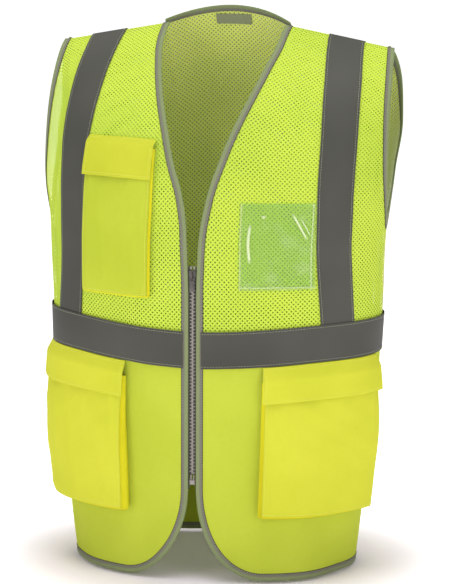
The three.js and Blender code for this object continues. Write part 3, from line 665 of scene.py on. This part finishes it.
def netPanel(name, isBack, side, shadedHoles):
    pitch = net["pitch"]
    rows = evenRows(math.pi if isBack else 0.9, pitch)
    reach = math.ceil((0.40 if isBack else 0.36) / pitch)
    columns = np.arange(-reach if isBack else 0, reach + 1)
    turns, zs, places = zip(*[netRow(v, isBack, pitch, columns) for v in rows])
    turn, z, place = (np.array(values) for values in (turns, zs, places))
    points = skin(turn * side, z, net["middle"])
    normals = outward(turn * side, z)
    uv = np.stack([place / pitch, np.broadcast_to(np.arange(len(rows))[:, None], place.shape)], -1)
    height, width = place.shape
    index = np.arange(height * width).reshape(height, width)
    j, i = np.meshgrid(np.arange(1, height - 1), np.arange(1, width - 1), indexing="ij")
    odd = (columns[i] + j) % 2 == 0
    j, i = j[odd], i[odd]
    left, right, up, down = (j, i - 1), (j, i + 1), (j - 1, i), (j + 1, i)
    area = 0.5 * np.linalg.norm(np.cross(points[right] - points[left], points[down] - points[up]), axis=1)
    full = 2 * pitch * pitch
    holed = area > full * net["soft"]
    solid = (area > full * 0.02) & ~holed
    quads = np.stack([index[left], index[down], index[right], index[up]], 1)
    faces = quads[solid].tolist()
    edge = np.arange(1, width - 1)
    for row, inner in ((0, 1), (height - 1, height - 2)):
        for k in edge[(columns[edge] + row) % 2 == 0]:
            three = [index[row, k - 1], index[inner, k], index[row, k + 1]]
            if np.linalg.norm(points[row, k + 1] - points[row, k - 1]) > pitch * 0.4:
                faces.append(three if row == 0 else three[::-1])
    centre = points[j, i][holed]
    arms = {key: points[where][holed] - centre for key, where in
            (("left", left), ("right", right), ("up", up), ("down", down))}
    ring, ringUv = [], []
    for angle in hexAngles:
        c, s = math.cos(angle), math.sin(angle)
        ring.append(centre + net["hole"] * (abs(c) * arms["right" if c > 0 else "left"]
                                            + abs(s) * arms["up" if s > 0 else "down"]))
        ringUv.append(uv[j, i][holed] + net["hole"] * np.array([c, -s]))
    count = int(holed.sum())
    start = height * width
    h = [start + k * count + np.arange(count) for k in range(6)]
    west, south, east, north = quads[holed].T
    for four in ((east, north, h[1], h[0]), (north, west, h[3], h[2]), (west, south, h[4], h[3]),
                 (south, east, h[0], h[5])):
        faces += np.stack(four, 1).tolist()
    for three in ((north, h[2], h[1]), (south, h[5], h[4])):
        faces += np.stack(three, 1).tolist()
    parts = [points.reshape(-1, 3), *ring]
    uvParts = [uv.reshape(-1, 2), *ringUv]
    netFaces = len(faces)
    # Sheets of painted shade, sunk a little behind the chosen holes.
    if shadedHoles:
        sunk = normals[j, i][holed] * net["shadeSheet"]
        dark = shadedHoles(turn[j, i][holed] * side, z[j, i][holed])
        first = start + 6 * count
        keep = np.flatnonzero(dark)
        for k in range(6):
            parts.append(ring[k] + sunk * (1 if isBack else -1))
            uvParts.append(ringUv[k])
        faces += np.stack([first + k * count + keep for k in range(6)], 1).tolist()
    points, uvAll = np.concatenate(parts), np.concatenate(uvParts)
    used = np.zeros(len(points), bool)
    for face in faces:
        used[face] = True
    renumber = np.cumsum(used) - 1
    faces = [renumber[face].tolist() for face in faces]
    first = points[used][faces[netFaces // 2]]
    probe = np.cross(first[1] - first[0], first[2] - first[0])
    facing = first.mean(0) * [1, 1, 0]
    if np.dot(probe, facing) < 0:
        faces = [face[::-1] for face in faces]
    piece = makeMesh(name, points[used], faces, uvAll[used])
    return piece, netFaces


def addNet(name, isBack, side, shadedHoles, paint, node):
    piece, netFaces = netPanel(name, isBack, side, shadedHoles)
    settle(piece, paint, "mesh_fabric", node)
    piece.data.materials.append(paints["shadeSheet"])
    slots = np.zeros(len(piece.data.polygons), np.int32)
    slots[netFaces:] = 1
    piece.data.polygons.foreach_set("material_index", slots)
    print(name, len(piece.data.polygons))
    return piece


# Front holes beside the zip that get painted shade, standing in for the dark inside of the vest seen through
# them.
def shadeNearZip(turn, z):
    out = surface(turn, z)[:, 0]
    gap = np.abs(out) - neckEdgeAt(z)
    reach = 0.004 + 0.013 * smooth(-0.375, -0.315, z) * smooth(-0.262, -0.29, z)
    return (z < -0.265) & (gap < reach * (1 + 0.4 * np.sin(z * 900)))


def everyHole(turn, z):
    return np.ones(len(z), bool)


addNet("frontMeshLeft", False, 1, shadeNearZip, "net", "front_mesh_panel_left")
addNet("frontMeshRight", False, -1, shadeNearZip, "net", "front_mesh_panel_right")
addNet("backMesh", True, 1, everyHole, "netLightened", "back_mesh_panel")
print("mesh panels ready")

# ---- solid lower panels
lowerSheet = {"across": 90, "down": 60, "flatFront": (0.285, 0.310), "areaFront": 0.081,
              "flatBack": (0.605, 0.310), "areaBack": 0.181}


def frontLowerGrid(side):
    corner = np.linspace(0, 1, 26)
    x = shape["zipEdge"] + shape["cornerAcross"] * (1 - np.cos(corner * quarter))
    bottom = shape["hem"] + shape["cornerUp"] * (1 - np.sin(corner * quarter))
    cornerTurn = float(turnAtX(x[-1], shape["hem"]))
    v = np.linspace(0, 1, lowerSheet["down"])[:, None]
    z = mix(beltMiddle(turnAtX(x, bottom)) - shape["seamGap"] / 2, bottom, v)
    first = turnAtX(x + 0 * z, z)
    rest = np.linspace(cornerTurn, sideTurn, lowerSheet["across"] - 25)[1:]
    z2 = mix(beltMiddle(rest) - shape["seamGap"] / 2, shape["hem"], v)
    turn = np.concatenate([first, np.broadcast_to(rest, z2.shape)], 1)
    return turn * side, np.concatenate([z, z2], 1)


def backLowerGrid():
    turn = math.pi + np.linspace(-sideTurn, sideTurn, 150)
    v = np.linspace(0, 1, lowerSheet["down"])[:, None]
    z = mix(beltMiddle(turn) - shape["seamGap"] / 2, shape["hem"], v)
    return np.broadcast_to(turn, z.shape), z


def clothSlab(name, turn, z, inner, outer):
    low, high = skin(turn, z, inner), skin(turn, z, outer)
    return slab(name, high, low, clothUv(high))


for side, hand in ((1, "left"), (-1, "right")):
    turn, z = (sided(values, side) for values in frontLowerGrid(side))
    piece = clothSlab("frontLower" + hand.capitalize(), turn, z, 0, shape["fabric"])
    settle(piece, "lower", "solid_fabric", "front_lower_panel_" + hand)
turn, z = backLowerGrid()
piece = clothSlab("backLower", turn, z, 0, shape["fabric"])
settle(piece, "lower", "solid_fabric", "back_lower_panel")
print("lower panels ready")

# ---- reflective tape
band = {"columns": 9, "rows": 70, "flatFront": (0.050, 0.283), "flatBack": (0.050, 0.602), "thread": 0.0001,
        "uprightFront": (0.050, 0.442), "uprightBack": (0.050, 0.400)}
sideJoin = float(beltMiddle(quarter)) + shape["seamGap"] / 2
sewing = []


def uprightGrid(isBack, side):
    lastShare = (shape["beltTop"] + shape["beltRise"] - 0.012) / sideJoin
    v = (np.linspace(0, 1, band["rows"]) ** 1.5 * lastShare)[:, None]
    x0 = tapeInnerAt(mix(0, sideJoin, v))
    x = x0 + np.linspace(0, 0.075, 60)[None]
    z = mix(topOf(x, isBack)[1] - 0.00002, sideJoin, v)
    turn = backTurnAtX(x, z) if isBack else turnAtX(x, z)
    line = surface(turn, z)
    steps = rowLengths(line)
    want = np.linspace(0, shape["tapeWidth"], band["columns"])
    turn = np.array([np.interp(want, s, t) for s, t in zip(steps, turn)])
    z = np.array([np.interp(want, s, t) for s, t in zip(steps, z)])
    if isBack:
        turn, z = turn[:, ::-1], z[:, ::-1]
    return turn, z


def edgeLine(turn, z, column, share, lift):
    pick = lambda values: mix(values[:, column], values[:, column + (1 if column == 0 else -1)], share)
    return lineOn(pick(turn), pick(z), lift)


one, two, tapeThick = shape["layerOne"], shape["layerTwo"], shape["tape"]
for side, hand in ((1, "left"), (-1, "right")):
    for isBack, face in ((False, "front"), (True, "back")):
        turn, z = uprightGrid(isBack, side)
        turn, z = sided(turn * side, side), sided(z, side)
        piece = clothSlab(f"{face}Tape{hand.capitalize()}", turn, z, one, one + tapeThick)
        settle(piece, "tape", "reflective_tape", f"{face}_tape_{hand}")
        for column in (0, band["columns"] - 1):
            sewing.append(edgeLine(turn, z, column, 0.45, one + tapeThick + band["thread"]))


def beltGrid(fromTurn, toTurn, count):
    turn = np.linspace(fromTurn, toTurn, count)[None] + np.zeros((band["columns"], 1))
    return turn, beltMiddle(turn) + np.linspace(0.5, -0.5, band["columns"])[:, None] * shape["tapeWidth"]


beltStart = float(turnAtX(shape["zipEdge"], shape["beltTop"]))
belts = [("beltTapeLeft", beltStart, sideTurn, 70, "flatFront", "belt_tape_front_left"),
         ("beltTapeRight", -sideTurn, -beltStart, 70, "flatFront", "belt_tape_front_right"),
         ("beltTapeBack", math.pi - sideTurn, math.pi + sideTurn, 140, "flatBack", "belt_tape_back")]
for name, fromTurn, toTurn, count, flat, node in belts:
    turn, z = beltGrid(fromTurn, toTurn, count)
    piece = settle(clothSlab(name, turn, z, two, two + tapeThick), "tape", "reflective_tape", node)
    for row in (0, band["columns"] - 1):
        inward = 1 if row == 0 else -1
        height = mix(z[row], z[row + inward], 0.45)
        sewing.append(lineOn(turn[row], height, two + tapeThick + band["thread"]))
print("reflective tape ready")

# ---- folded binding round every edge: out from the cloth's edge, along the normal, share across (mm)
fold = {"flat": 0.0190, "threadIn": 1.2, "threadUp": 1.55}
bindingSection = [
    (-2.4, 0.92, 0.02), (-2.4, 1.2, 0.04), (-2.0, 1.45, 0.08), (-1.2, 1.5, 0.14), (0.4, 1.5, 0.28),
    (1.2, 1.25, 0.42), (1.7, 1.2, 0.48), (2.4, 1.42, 0.58), (4.2, 1.5, 0.72), (6.2, 1.4, 0.86),
    (7.1, 1.0, 0.94), (7.4, 0.4, 1.0), (7.1, -0.3, 0.94), (6.2, -0.65, 0.86), (2.0, -0.7, 0.5),
    (-1.6, -0.7, 0.2),
    (-2.3, -0.5, 0.1), (-2.3, -0.12, 0.05), (0.3, -0.1, 0.3), (0.3, 0.9, 0.3)]


def addBinding(name, turn, z, side, node):
    points, out, normals = pathFrame(turn, z, side)
    piece = swept(name, points, out, normals, bindingSection)
    settle(piece, "binding", "binding", node)
    length = float(lengthsAlong(points)[-1])
    sewing.append((points - out * fold["threadIn"] * mm + normals * fold["threadUp"] * mm, normals))
    return piece


def frontEdge(side):
    top = np.linspace(0, 1, 90) ** 1.35
    z = mix(-0.0001, sideJoin - 0.012, top)
    z = np.where(z > -0.0001, -0.0001, z)
    turn = turnAtX(neckEdgeAt(z), z)
    start = shape["hem"] + shape["cornerUp"]
    straight = np.linspace(z[-1], start, 40)[1:]
    corner = np.linspace(0, 1, 40)[1:] * quarter
    x = shape["zipEdge"] + shape["cornerAcross"] * (1 - np.cos(corner))
    cornerZ = shape["hem"] + shape["cornerUp"] * (1 - np.sin(corner))
    cornerTurn = turnAtX(x, cornerZ)
    hem = np.linspace(cornerTurn[-1], sideTurn, 60)[1:]
    turns = [turn, turnAtX(np.full(39, shape["zipEdge"]), straight), cornerTurn, hem]
    return np.concatenate(turns) * side, np.concatenate([z, straight, cornerZ, np.full(59, shape["hem"])])


def armEdge(side):
    top = float(topOf(np.array(shape["shoulderHalf"]), np.array(False))[1]) - 0.0001
    z = mix(top, shape["underarm"], np.linspace(0, 1, 70))
    front = np.minimum(np.radians(frontArmAt(z) / mm), quarter)
    back = math.pi - np.radians(backArmAt(z) / mm)
    turn = np.concatenate([front, back[::-1][1:]])
    z = np.concatenate([z, z[::-1][1:]])
    for _ in range(14):
        turn[40:-40] = (turn[39:-41] + turn[40:-40] * 2 + turn[41:-39]) / 4
        z[40:-40] = (z[39:-41] + z[40:-40] * 2 + z[41:-39]) / 4
    return turn * side, z


for side, hand in ((1, "left"), (-1, "right")):
    addBinding("frontBinding" + hand.capitalize(), *frontEdge(side), side, "front_binding_" + hand)
    addBinding("armholeBinding" + hand.capitalize(), *armEdge(side), -side, "armhole_binding_" + hand)
neckX = np.linspace(-shape["neckHalf"], shape["neckHalf"], 80) * 0.995
neckZ = topOf(neckX, np.ones(80, bool))[1] - 0.0001
addBinding("backNeckBinding", backTurnAtX(neckX, neckZ), neckZ, 1, "back_neck_binding")
hemTurn = np.linspace(math.pi - sideTurn, math.pi + sideTurn, 140)
addBinding("backHemBinding", hemTurn, np.full(140, shape["hem"]), 1, "hem_binding_back")
print("binding ready")

# ---- pockets. Across runs 0 to 1 from the inner edge, stand is how far the front is from the body.
chest = {"inner": 0.060, "outer": 0.156, "top": -0.142, "bottom": -0.348, "puff": 0.011, "open": 0.4,
         "flap": 0.052, "tuck": 0.012, "crease": 0.0006, "columns": 44, "rows": 70}
cargo = {"inner": 0.100, "width": 0.168, "bottom": -0.642, "puff": 0.022, "open": 0.35,
         "flap": 0.047, "tuck": 0.020, "crease": 0.0011, "columns": 70, "rows": 60}
flapKit = {"proud": 0.02, "thick": 0.0014, "room": 0.0024, "patchUp": 0.006, "patchTall": 0.018,
           "patchThick": 0.0006, "hookGap": 0.0010, "bend": 0.008}
pocketRim = {"draw": 0.0022, "thread": 0.0009}


def pocketTurn(pocket, u, z):
    if pocket is chest:
        return turnAtX(mix(chest["inner"], chest["outer"], u), z)
    return turnAtCloth(cargo["inner"] + cargo["width"] * u, z)


def pocketTop(pocket, u):
    if pocket is chest:
        return np.full(np.shape(u), chest["top"])
    turn = turnAtCloth(cargo["inner"] + cargo["width"] * u, shape["beltTop"] - shape["tapeWidth"])
    return beltMiddle(turn) - shape["tapeWidth"] / 2 - 0.001


def standAt(pocket, share):
    v = np.clip(share, 0, 1)
    return one + pocket["puff"] * mix(pocket["open"], 1, np.sin(np.minimum(1, v * 1.6) * quarter))


def creases(pocket, u, v, seed):
    pull = np.sin(9 * u + 14 * v + seed) * np.sin(5 * v - 7 * u + 2 * seed)
    fine = np.sin(31 * u - 17 * v + 3 * seed) * np.sin(23 * v + 9 * u + seed)
    calm = smooth(0, 0.1, u) * smooth(1, 0.9, u) * smooth(1, 0.92, v)
    return pocket["crease"] * calm * (pull + 0.4 * fine)


# The bag's front is drawn in a little at its rim, where it is sewn to the side wall.
def addPocket(name, pocket, side, flat):
    u = np.linspace(0, 1, pocket["columns"])[None]
    v = np.linspace(0, 1, pocket["rows"])[:, None]
    z = mix(pocketTop(pocket, u) - pocket["tuck"], pocket["bottom"], v)
    turn = pocketTurn(pocket, u, z)
    seed = side + len(name)
    rim = np.minimum(np.minimum(u, 1 - u) * 9, (1 - v) * 12)
    drawnIn = (1 - np.clip(rim, 0, 1)) ** 2 * pocketRim["draw"] * smooth(0, 0.2, v)
    lift = standAt(pocket, v) + creases(pocket, u, v, seed) - drawnIn
    turn, z, lift = (sided(values, side) for values in (turn * side, z, lift))
    high = skin(turn, z, lift + shape["fabric"])
    front = slab(name + "Front", high, skin(turn, z, lift), clothUv(high))
    settle(front, "chest" if pocket is chest else "pocket", "pocket_fabric", nodeStem[name] + "_pocket_front")
    every = slice(None)
    for place in (2, 5, (every, 1), (every, -2), -2):
        yellowSewing.append(lineOn(turn[place], z[place], lift[place] + pocketRim["thread"]))
    walkTurn, walkZ, walkLift = (np.concatenate([grid[:, 0], grid[-1, 1:-1], grid[::-1, -1]])
                                 for grid in (turn, z, lift))
    points, out, normals = pathFrame(walkTurn, walkZ, -1)
    rows = np.linspace(0, 1, 9)
    pleat = -0.0038 * np.sin(rows * math.pi) ** 2 * (pocket["puff"] / 0.022) - 0.0007
    depth = one + (walkLift - one - 0.0002)[:, None] * rows[None]
    inner = points[:, None] + out[:, None] * pleat[None, :, None] + normals[:, None] * depth[..., None]
    outer = inner + out[:, None] * 0.0006
    grid = np.swapaxes(outer, 0, 1)[::-1]
    back = np.swapaxes(inner, 0, 1)[::-1]
    gusset = slab(name + "Gusset", grid[:, ::-1], back[:, ::-1], clothUv(grid)[:, ::-1])
    settle(gusset, "gusset", "pocket_fabric", nodeStem[name] + "_pocket_gusset")


def flapLift(pocket, drop):
    middleTop = float(pocketTop(pocket, np.array(0.5)))
    share = (drop - pocket["tuck"]) / (middleTop - pocket["tuck"] - pocket["bottom"])
    over = standAt(pocket, share) + shape["fabric"] + flapKit["room"]
    return mix(one, over, smooth(-pocket["tuck"] / 4, pocket["tuck"], drop))


def flapGrid(pocket, side, low, high, edge, rows, columns):
    u = mix(edge, 1 - edge, np.linspace(0, 1, columns))[None]
    drop = np.linspace(low, high, rows)[:, None]
    z = pocketTop(pocket, u) - drop
    turn = pocketTurn(pocket, u, z)
    return sided(turn * side, side), sided(z, side), sided(drop + 0 * u, side), sided(u + 0 * drop, side)


def addFlap(name, pocket, side, body):
    columns = pocket["columns"] + 10
    turn, z, drop, u = flapGrid(pocket, side, 0, pocket["flap"], -flapKit["proud"], 46, columns)
    v = drop / pocket["flap"]
    wave = 0.0006 * np.sin(7 * u + 2 * side) * v + 0.0009 * smooth(0.75, 1, v) * np.sin(4.5 * u + side)
    lift = flapLift(pocket, drop) + wave
    rimWidth = np.minimum(np.minimum(u - u.min(), u.max() - u) * 0.16, pocket["flap"] - drop)
    thick = flapKit["thick"] - 0.0006 * smooth(0.0018, 0, rimWidth)
    high = skin(turn, z, lift + thick)
    piece = slab(name + "Flap", high, skin(turn, z, lift), clothUv(high))
    dress(piece, "chestTop" if pocket is chest else "pocket", "pocket_fabric", nodeStem[name] + "_flap")
    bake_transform(piece)
    above = lift + flapKit["thick"] + 0.0001
    yellowSewing.append(lineOn(turn[3], z[3], above[3]))
    keep = slice(10, 43)
    sides = [lineOn(turn[place], z[place], above[place]) for place in ((keep, 2), (keep, -3), 42)]
    moving = stitches(name + "FlapStitches", sides)
    dress(moving, "yellowThread", "pocket_fabric")
    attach(moving, body)


def addPatch(name, pocket, side, onFlap, body):
    low = pocket["flap"] - flapKit["patchUp"] - flapKit["patchTall"]
    turn, z, drop, u = flapGrid(pocket, side, low, pocket["flap"] - flapKit["patchUp"], 0.25, 9, 30)
    lift = flapLift(pocket, drop)
    lift = lift - flapKit["hookGap"] if onFlap else lift - flapKit["room"] + flapKit["patchThick"]
    high = skin(turn, z, lift + flapKit["patchThick"])
    kind = "Hook" if onFlap else "Loop"
    piece = slab(name + kind + "Patch", high, skin(turn, z, lift), clothUv(high))
    dress(piece, "hook", "hook_and_loop", nodeStem[name] + "_" + kind.lower() + "_patch")
    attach(piece, body)


nodeStem = {"chest": "chest", "cargoLeft": "cargo_left", "cargoRight": "cargo_right"}
yellowSewing = []
for name, pocket, side, flat, wall, cover, body in (
        ("chest", chest, -1, (0.108, 0.195), (0.0110, 0.480), (0.112, 0.058), "chest_lid"),
        ("cargoLeft", cargo, 1, (0.182, 0.190), (0.024, 0.520), (0.184, 0.051), "cargo_lid_left"),
        ("cargoRight", cargo, -1, (0.182, 0.190), (0.024, 0.520), (0.184, 0.051), "cargo_lid_right")):
    addPocket(name, pocket, side, flat)
    low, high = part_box(nodeStem[name] + "_flap")
    addFlap(name, pocket, side, body)
    addPatch(name, pocket, side, True, body)
    addPatch(name, pocket, side, False, "root")
print("pockets ready")

# ---- clear window, open at the top
window = {"inner": 0.062, "outer": 0.160, "top": -0.220, "height": 0.116, "thick": 0.0005}
u = np.linspace(0, 1, 60)[None]
v = np.linspace(0, 1, 60)[:, None]
z = window["top"] - window["height"] * v + 0 * u
turn = turnAtX(mix(window["inner"], window["outer"], u), z)
swell = 0.0022 * np.sin(u * math.pi) * np.sin(v * math.pi) ** 0.7
swell = swell + 0.0005 * np.sin(11 * u - 7 * v) * np.sin(v * math.pi)
high = skin(turn, z, one + 0.0002 + swell + window["thick"])
film = slab("idWindow", high, skin(turn, z, one + 0.0002 + swell), clothUv(high))
settle(film, "film", "clear_vinyl", "id_window")
for column in (1, -2):
    yellowSewing.append(lineOn(turn[:, column], z[:, column], one + swell[:, column] + 0.0009))
yellowSewing.append(lineOn(turn[-2], z[-2], one + swell[-2] + 0.0009))
print("window ready")

# ---- zip: moulded teeth, slider with a hanging pull, stops, pins and box
zipper = {"plane": -0.128, "top": -0.318, "bottom": -0.5906, "pitch": 0.0048, "tooth": 0.0024,
          "thick": 0.0026, "reach": 0.0013, "root": 0.0036, "cordX": 0.0029, "cordBack": 0.0011}


def toothShape(side, z):
    tip, root = -zipper["reach"] * side, zipper["root"] * side
    rings = []
    for x, tall, deep in ((root, 0.28, 0.34), (0.0018 * side, 0.30, 0.42), (0.0006 * side, 0.36, 0.42),
                          (tip * 0.4, 0.50, 0.5), (tip, 0.34, 0.36)):
        y, half = zipper["thick"] * deep, zipper["tooth"] * tall
        rings.append([(x, -y, -half), (x, -y, half), (x, y, half), (x, y, -half)])
    return np.array(rings) + np.array([0, zipper["plane"], z])


for side, hand in ((1, "Left"), (-1, "Right")):
    points, faces = [], []
    start = zipper["top"] - (0.0012 if side > 0 else 0.0012 + zipper["pitch"] / 2)
    for z in np.arange(start, zipper["bottom"] + 0.001, -zipper["pitch"]):
        rings = toothShape(side, z)
        base = len(points)
        points.extend(rings.reshape(-1, 3))
        loops = []
        for k in range(4):
            for c in range(4):
                a, b = base + k * 4 + c, base + k * 4 + (c + 1) % 4
                loops.append([a, b, b + 4, a + 4])
        loops.append([base + 3, base + 2, base + 1, base])
        loops.append([base + 16, base + 17, base + 18, base + 19])
        faces += loops if side < 0 else [loop[::-1] for loop in loops]
    teeth = makeMesh("zipTeeth" + hand, np.array(points), faces)
    crisp(teeth)
    settle(teeth, "plastic", "zip_plastic", "zip_teeth_" + hand.lower())
    beadZ = np.linspace(zipper["top"], zipper["bottom"], 60)
    cordPlace = (zipper["cordX"] * side, zipper["plane"] + zipper["cordBack"])
    line = np.stack([np.full(60, cordPlace[0]), np.full(60, cordPlace[1]), beadZ], -1)
    ring = [(math.cos(a) * 1.6, math.sin(a) * 0.35, k / 8) for k, a in
            enumerate(np.linspace(0, 2 * math.pi, 9)[:-1])]
    cord = swept("zipCord" + hand, line, np.tile([1.0, 0, 0], (60, 1)), np.tile([0, -1.0, 0], (60, 1)), ring)
    settle(cord, "zipTape", "zip_tape")


def block(low, high, bevel=0.0):
    bpy.ops.object.select_all(action="DESELECT")
    bpy.ops.mesh.primitive_cube_add(size=1)
    piece = bpy.context.object
    bpy.ops.object.mode_set(mode="EDIT")
    bpy.ops.mesh.select_all(action="SELECT")
    size = [b - a for a, b in zip(low, high)]
    bpy.ops.transform.resize(value=size)
    bpy.ops.transform.translate(value=[(a + b) / 2 for a, b in zip(low, high)])
    if bevel:
        bpy.ops.mesh.bevel(offset=bevel, segments=3, affect="EDGES")
    bpy.ops.object.mode_set(mode="OBJECT")
    return piece


def joinAs(name, parts):
    bpy.ops.object.select_all(action="DESELECT")
    for part in parts:
        part.select_set(True)
    bpy.context.view_layer.objects.active = parts[0]
    bpy.ops.object.join()
    parts[0].name = name
    parts[0].data.name = name
    crisp(parts[0])
    return parts[0]


# Slider sizes in millimetres: half widths, depths from the zip's plane, heights from the slider's top.
sliderTop = -0.3111


def part(x, y, drop, bevel):
    low = (x[0] * mm, zipper["plane"] - y[1] * mm, sliderTop - drop[1] * mm)
    high = (x[1] * mm, zipper["plane"] - y[0] * mm, sliderTop - drop[0] * mm)
    return block(low, high, bevel * mm)


slider = joinAs("zipSlider", [
    part((-4.9, 4.9), (1.6, 2.6), (0, 9), 0.4), part((-4.2, 4.2), (1.6, 2.6), (8.2, 14), 0.4),
    part((-4.9, 4.9), (-2.6, -1.6), (0, 14), 0.4), part((-1.2, 1.2), (-2.0, 2.0), (0, 4), 0.3),
    part((-4.9, -4.2), (0.7, 2.6), (0, 9), 0.2), part((4.2, 4.9), (0.7, 2.6), (0, 9), 0.2),
    part((-0.9, 0.9), (2.2, 6.4), (2.5, 3.7), 0.3), part((-0.9, 0.9), (2.2, 6.4), (9.8, 11), 0.3),
    part((-0.9, 0.9), (5.2, 6.4), (2.5, 11), 0.4)])
dress(slider, "metal", "zip_metal", "zip_slider")
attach(slider, "slider")
pull = joinAs("zipPull", [
    part((-2.4, 2.4), (3.5, 4.5), (8, 9), 0.3), part((-2.4, -1.4), (3.4, 4.6), (8, 15), 0.35),
    part((1.4, 2.4), (3.4, 4.6), (8, 15), 0.35), part((-3.6, 3.6), (3.4, 4.6), (13.6, 17), 0.5),
    part((-3.6, 3.6), (3.4, 4.6), (16, 28.3), 0.5), part((-2.2, 2.2), (4.3, 4.8), (18, 26), 0.2)])
dress(pull, "metal", "zip_metal", "zip_pull")
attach(pull, "pull")

for name, paint, slotName in (
        ("zip_tape_left", "zipTape", "zip_tape"), ("zip_tape_right", "zipTape", "zip_tape"),
        ("zip_top_stop_left", "plastic", "zip_plastic"), ("zip_top_stop_right", "plastic", "zip_plastic"),
        ("zip_retainer_box", "plastic", "zip_plastic"), ("zip_insertion_pin", "plastic", "zip_plastic"),
        ("side_seam_left", "seam", "binding"), ("side_seam_right", "seam", "binding"),
        ("shoulder_seam_left", "seam", "binding"), ("shoulder_seam_right", "seam", "binding"),
        ("neck_tab", "seam", "binding")):
    dress(nodes[name], paint, slotName)
settle(stitches("tapeStitches", sewing), "thread", "reflective_tape")
settle(stitches("pocketStitches", yellowSewing), "yellowThread", "pocket_fabric")
print("zip and sewing ready")

# ---- camera, lights and floor
view = {"target": (0, 0, -0.350), "azimuth": 14.0, "elevation": 10.0, "distance": 4.5, "lens": 202.0,
        "right": 0.0135, "down": 0.0120, "roll": 0.2}
azimuth, elevation = math.radians(view["azimuth"]), math.radians(view["elevation"])
back = Vector((math.sin(azimuth) * math.cos(elevation), -math.cos(azimuth) * math.cos(elevation),
               math.sin(elevation)))
look = (-back).to_track_quat("-Z", "Y")
right, up = look @ Vector((1, 0, 0)), look @ Vector((0, 1, 0))
target = Vector(view["target"]) + right * view["right"] - up * view["down"]
bpy.ops.object.camera_add(location=target + back * view["distance"])
camera = bpy.context.object
camera.rotation_mode = "QUATERNION"
camera.rotation_quaternion = look @ Matrix.Rotation(math.radians(view["roll"]), 3, "Z").to_quaternion()
camera.data.lens = view["lens"]
camera.data.sensor_width = 36
camera.data.dof.use_dof = False
bpy.context.scene.camera = camera
bpy.context.scene.view_settings.view_transform = "Standard"


def areaLight(name, place, size, power, aim):
    bpy.ops.object.light_add(type="AREA", location=place)
    light = bpy.context.object
    light.name = name
    light.data.shape = "RECTANGLE"
    light.data.size, light.data.size_y = size
    light.data.energy = power
    light.rotation_mode = "QUATERNION"
    light.rotation_quaternion = (Vector(aim) - Vector(place)).to_track_quat("-Z", "Y")
    return light


areaLight("overhead", (0, -0.2, 2.4), (3.0, 3.0), 80, (0, 0, -0.4))
areaLight("frontLeft", (-2.2, -3.2, 1.0), (2.0, 2.4), 32, (0, 0, -0.35))
areaLight("frontRight", (2.8, -2.8, 0.6), (1.8, 2.4), 36, (0, 0, -0.35))
world = bpy.data.worlds.new("studio")
bpy.context.scene.world = world
world.use_nodes = True
world.node_tree.nodes["Background"].inputs[0].default_value = (1, 1, 1, 1)
world.node_tree.nodes["Background"].inputs[1].default_value = 0.30

bpy.ops.mesh.primitive_plane_add(size=60, location=(0, 0, -0.7375))
floor = bpy.context.object
floor.name = "floor"
# The floor glows white as painted light except in a patch under the vest, where the glow fades out; the
# shadow there is partly cast by the lamps and partly this painted dark patch.
floorPaint = Paint("floorPaint")
floorX, floorY, floorZ = floorPaint.split(floorPaint.place())
away = (floorX * floorX * 0.8 + floorY * floorY).ramp(0.03, 0.12)
# The pinkish base colour offsets the green light the vest bounces into the shadow.
floor.data.materials.append(floorPaint.surface(**{
    "Base Color": (0.93, 0.86, 0.93, 1), "Roughness": 0.9, "Specular IOR Level": 0.1,
    "Emission Color": floorPaint.blend(away, (0.02, 0.02, 0.02, 1), (1, 1, 1, 1)), "Emission Strength": 0.8}))
floor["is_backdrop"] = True

low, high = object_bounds()
{"cad": [list(corner) for corner in cadBox], "visual": [list(low), list(high)]}
print("cad", [round(a, 4) for a in (*cadBox[0], *cadBox[1])])
print("now", [round(a, 4) for a in (*low, *high)])
